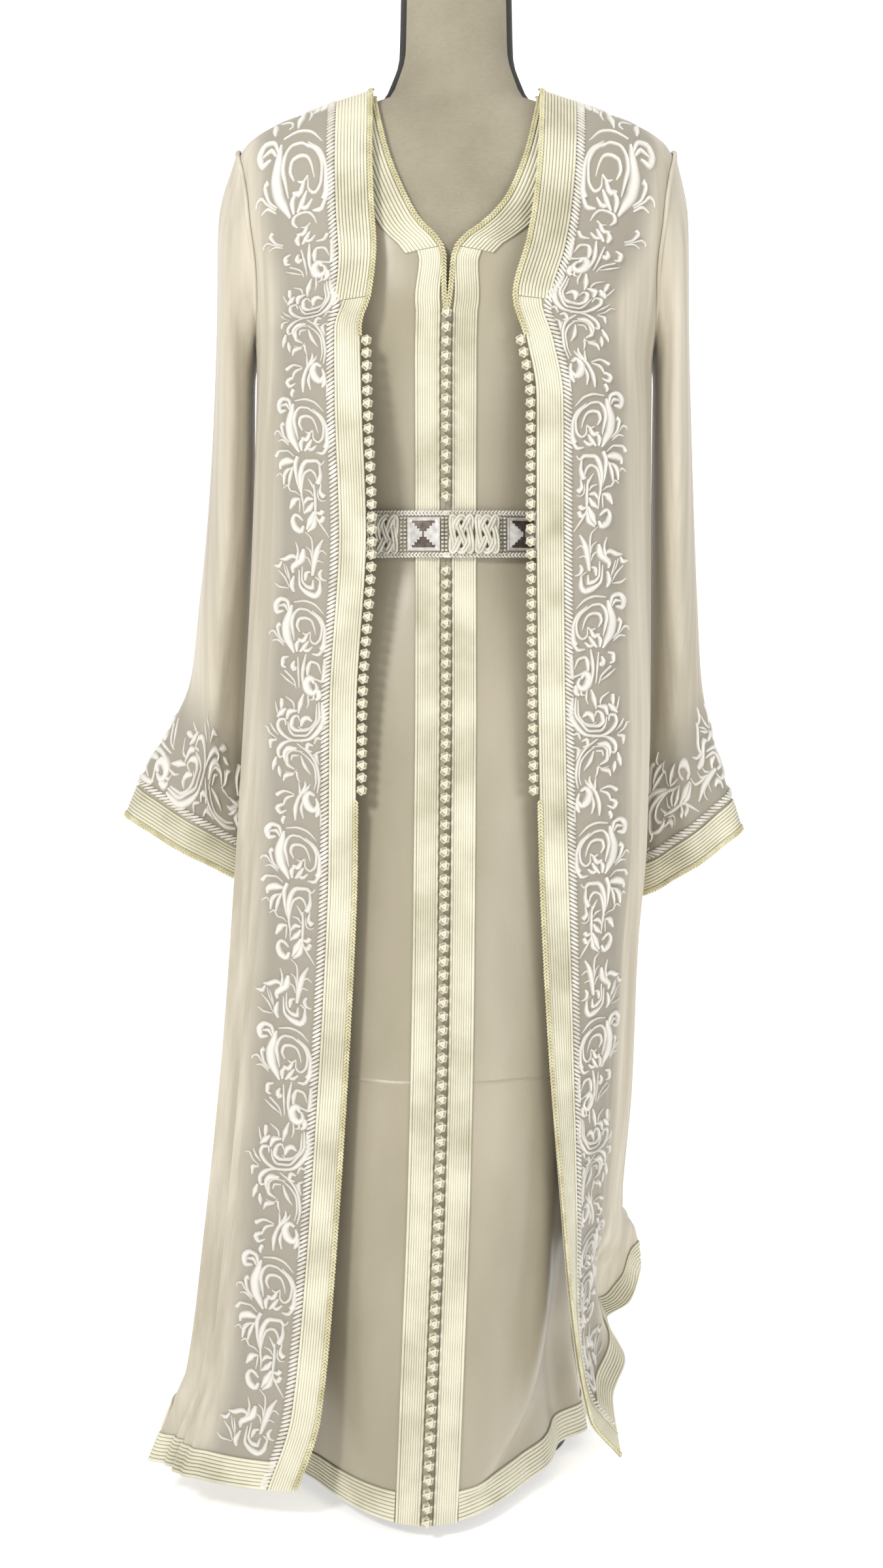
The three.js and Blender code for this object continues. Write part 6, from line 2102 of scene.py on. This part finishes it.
class Belt:
    """The belt: a braided strap that carries silver plaques, coils and corded knots."""

    # Where a knot's cord goes over and under itself in turn, in twelfths of a half turn
    CROSSINGS = (-1, 0, 1, 4, 5, 7, 8, 11, 12, 13, 16, 17, 19, 20, 23, 24)
    # The rim of a plaque, from its back to its face: how far in from its edge, and how far out
    RIM = ((0, 0), (0, 1.4), (0.5, 1.8), (1.8, 1.8), (2.3, 1.3), (2.6, 1.5))

    def __init__(
        self, size: BeltSize, gown: UnderDress, finishes: Finishes, repeater: Repeater, shapes: Shapes
    ) -> None:
        """Lays out the belt's line."""
        self.size, self.finishes, self.repeater, self.shapes = size, finishes, repeater, shapes
        self.line = BeltLine(gown, size.seat)
        self.pitch = self.line.total / size.units

    def build(self) -> None:
        """Makes the belt's pieces."""
        self.build_strap()
        for n in range(self.size.units):
            self.build_plaque(n)
            self.build_knots(n)
        self.build_edges()

    def build_strap(self) -> None:
        """The strap itself."""
        d = np.linspace(0, self.line.total, 260, endpoint=False)
        half = BELT_HEIGHT / 2
        ribs = np.arange(13 * 4 + 1) / 4
        h = np.concatenate([lerp(-half, half, ribs / ribs[-1]), [half, -half]])
        lift = np.concatenate([BELT_STRAP - 0.3 + 0.35 * np.abs(np.sin(math.pi * ribs)), [0, 0]])
        points, _ = self.line.at(d[:, None], h[None], lift[None])
        stock = MeshStock()
        stock.add_loft(points, pairs(np.concatenate([ribs, ribs[[-1, 0]]]), d[:, None]), closed=True)
        settle(stock.build("belt_braided_strap", self.finishes.belt_braid), "belt_braid", "belt_strap")

    def build_plaque(self, n: int) -> None:
        """One square plaque: two bright facets at its sides, and stepped dark ones at top and bottom."""
        size = self.size
        middle, half = size.first + n * self.pitch, size.plaque / 2
        centre, away = (v.reshape(3) for v in self.line.at(middle, 0.0, BELT_STRAP + 1))
        up = np.array([0.0, 0.0, 1.0])
        across = np.cross(up, away)

        def place(x: float, y: float, rise: float) -> Array:
            """A point of the plaque by its width, height and rise."""
            return centre + across * x + up * y + away * rise

        plate = MeshStock()
        corners = ((-1, -1), (1, -1), (1, 1), (-1, 1))
        rings = [(half - inset, rise) for inset, rise in self.RIM]
        rings += [(1.6, size.plaque_rise - 1.2), (0.4, size.plaque_rise - 1.0)]
        plate.add_loft(np.array([[place(i * r, j * r, rise) for i, j in corners] for r, rise in rings]))
        piece = plate.build(f"belt_silver_plaque_{n + 1}", self.finishes.silver, smooth=False)
        settle(piece, "silver", f"belt_plaque_{n + 1}")
        steps = MeshStock()
        slope = (size.plaque_rise - 2.7) / (half - 4.2) * size.step
        for way in (-1, 1):
            for k in range(size.steps):
                foot = half - 2.9 - k * size.step
                top = foot - size.step
                wide = top + 0.9
                rise = 1.5 + (half - 2.6 - foot) * slope / size.step
                box = [
                    [place(x * wide, way * y, z + lean) for x, y, lean in
                     ((-1, foot, 0), (1, foot, 0), (1, top, slope), (-1, top, slope))]
                    for z in (rise - 1.4, rise + 0.2)
                ]
                steps.add_loft(np.array(box))
        settle(steps.build(f"belt_plaque_steps_{n + 1}", self.finishes.dark_silver, smooth=False), "silver")

    def build_knots(self, n: int) -> None:
        """Two interlaced knots of doubled cord, and the pad below them."""
        size = self.size
        middle = size.first + (n + 0.5) * self.pitch
        pad = MeshStock()
        d = np.linspace(-size.pad_half, size.pad_half, 25)
        h = np.linspace(-BELT_HEIGHT / 2, BELT_HEIGHT / 2, 15)
        swell = 1.0 * np.sqrt(np.clip(np.cos(h / (BELT_HEIGHT / 2 + 1.5) * math.pi / 2), 0, 1))
        top, _ = self.line.at(middle + d[:, None], h[None], BELT_STRAP + 0.2 + swell[None])
        low, _ = self.line.at(middle + d[:, None], np.array([[22.0, -22.0]]), np.array([[0.6, 0.6]]))
        uv = pairs(np.append(np.linspace(0, 12, 15), (12, 0)), d[:, None])
        pad.add_loft(np.concatenate([top, low], axis=1), uv)
        settle(pad.build(f"belt_knot_pad_{n + 1}", self.finishes.belt_braid), "belt_cord", f"belt_knot_{n + 1}")
        cords = MeshStock()
        over = np.array(self.CROSSINGS) * math.pi / 12
        for side in (-1, 1):
            for strand in (-1, 1):
                a = np.linspace(0, 2 * math.pi, 102, endpoint=False)
                x, y = size.knot_reach[0] * np.sin(2 * a), size.knot_reach[1] * np.sin(3 * a)
                dx, dy = np.gradient(x), np.gradient(y)
                length = np.hypot(dx, dy)
                apart = strand * size.cord * 0.95 / length
                x, y = x - dy * apart, y + dx * apart
                weave = Profile(over, size.knot_weave * (-1.0) ** np.arange(len(over)))(a)
                path, _ = self.line.at(
                    middle + side * size.knot_span / 2 + x, y, BELT_STRAP + 2.9 + size.cord + weave
                )
                cords.add_tube(path, size.cord, closed=True)
        settle(cords.build(f"belt_knot_cords_{n + 1}", self.finishes.belt_cord), "belt_cord")

    def build_edges(self) -> None:
        """The twisted cords on the strap's edges, and the upright coils beside each plaque."""
        size = self.size
        d = np.arange(0, self.line.total + 3, 3.0)
        edges = [self.line.at(d, h, BELT_STRAP + 0.3) for h in (-21.0, 21.0)]
        cords = self.repeater.lay(
            "belt_edge_cords", edges, self.shapes.chain, size.chain_pitch, self.finishes.stitch, 0.02
        )
        settle(cords, "belt_cord")
        h = np.linspace(20, -20, 21)
        beside = size.plaque / 2 + size.strip_gap
        coils = [
            self.line.at(size.first + n * self.pitch + side * beside, h, BELT_STRAP + 1.6)
            for n in range(size.units)
            for side in (-1, 1)
        ]
        coils = self.repeater.lay(
            "belt_coils", coils, self.shapes.bead, size.coil_pitch, self.finishes.belt_cord, 0.03
        )
        settle(coils, "belt_cord")


# ---- Studio


@dataclass(frozen=True)
class Lamp:
    """A soft square light: where it stands and points, in metres, its power in watts and its side in metres."""

    name: str
    place: tuple[float, float, float]
    aim: tuple[float, float, float]
    power: float
    size: float


LAMPS = (
    Lamp("key", (-1.9, -2.8, 3.1), (0, 0, 0.95), 80, 0.7),
    Lamp("fill", (2.2, -2.8, 1.3), (0, 0, 0.8), 24, 1.6),
    Lamp("top", (0.2, -0.5, 3.4), (0, 0, 1.0), 12, 1.4),
)
LAMP_TINT = (1.0, 0.985, 0.96)
AIR_TINT, AIR_STRENGTH = (1.0, 0.99, 0.975, 1), 0.38


@dataclass(frozen=True)
class Backdrop:
    """The backdrop's sizes in metres, and how strongly it glows."""

    near: float = -16.0
    wall: float = 9.0
    bend: float = 1.2
    half: float = 26.0
    top: float = 24.0
    glow: float = 0.55


@dataclass(frozen=True)
class View:
    """The camera's place and lens, as the photo has them."""

    place: tuple[float, float, float] = (-0.0153, -2.3, 0.921)
    pitch: float = 5.18
    lens: float = 49.68


class Studio:
    """A pale floor and backdrop, soft lights and the camera."""

    def __init__(self, view: View) -> None:
        """Keeps the camera's place."""
        self.view = view

    def build(self) -> None:
        """Makes the studio."""
        scene = bpy.context.scene
        scene.view_settings.view_transform = "Standard"
        scene.view_settings.look = "None"
        self.build_backdrop(Backdrop())
        world = bpy.data.worlds.new("studio_air")
        scene.world = world
        world.use_nodes = True
        air = world.node_tree.nodes["Background"]
        air.inputs["Color"].default_value = AIR_TINT
        air.inputs["Strength"].default_value = AIR_STRENGTH
        for lamp in LAMPS:
            self.light(lamp)
        camera = bpy.data.objects.new("camera", bpy.data.cameras.new("camera"))
        camera.location = self.view.place
        camera.rotation_euler = (math.radians(90 - self.view.pitch), 0, 0)
        camera.data.lens = self.view.lens
        scene.collection.objects.link(camera)
        scene.camera = camera

    def build_backdrop(self, size: Backdrop) -> None:
        """A floor that rises into a wall in one sweep, far enough back to look at the part from behind."""
        turns = np.linspace(0, math.pi / 2, 16)
        bend = [(size.wall + size.bend * math.sin(a), size.bend * (1 - math.cos(a))) for a in turns]
        line = [(size.near, 0.0), (0.0, 0.0), *bend, (size.wall + size.bend, size.top)]
        points = [(x, y, z) for y, z in line for x in (-size.half, size.half)]
        faces = [(2 * i, 2 * i + 1, 2 * i + 3, 2 * i + 2) for i in range(len(line) - 1)]
        mesh = bpy.data.meshes.new("backdrop")
        mesh.from_pydata(points, [], faces)
        mesh.polygons.foreach_set("use_smooth", np.ones(len(faces), bool))
        g = Graph("pale_backdrop")
        g.shader.inputs["Emission Color"].default_value = (1, 1, 1, 1)
        tint = g.tint(g.noise(2, 2), (238, 236, 232), (244, 242, 238))
        mesh.materials.append(g.finish(tint, None, 0.9, Emission_Strength=size.glow))
        piece = bpy.data.objects.new("backdrop", mesh)
        bpy.context.scene.collection.objects.link(piece)

    def light(self, lamp: Lamp) -> None:
        """A soft square light."""
        data = bpy.data.lights.new(lamp.name, "AREA")
        data.energy, data.size, data.color = lamp.power, lamp.size, LAMP_TINT
        made_lamp = bpy.data.objects.new(lamp.name, data)
        made_lamp.location = lamp.place
        made_lamp.rotation_euler = (Vector(lamp.aim) - Vector(lamp.place)).to_track_quat("-Z", "Y").to_euler()
        bpy.context.scene.collection.objects.link(made_lamp)


def main() -> None:
    """Builds the part and its studio."""
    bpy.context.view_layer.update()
    finishes = Finishes()
    repeater, shapes = Repeater(), Shapes(finishes.stitch)
    DressForm(FormSize(), finishes).build()
    gown = Gown(GownSize(), finishes, repeater, shapes)
    gown.build()
    OpenCoat(CoatSize(), finishes, repeater, shapes).build()
    Belt(BeltSize(), gown.layer, finishes, repeater, shapes).build()
    shapes.clear()
    Studio(View()).build()


if __name__ == "__main__":
    main()
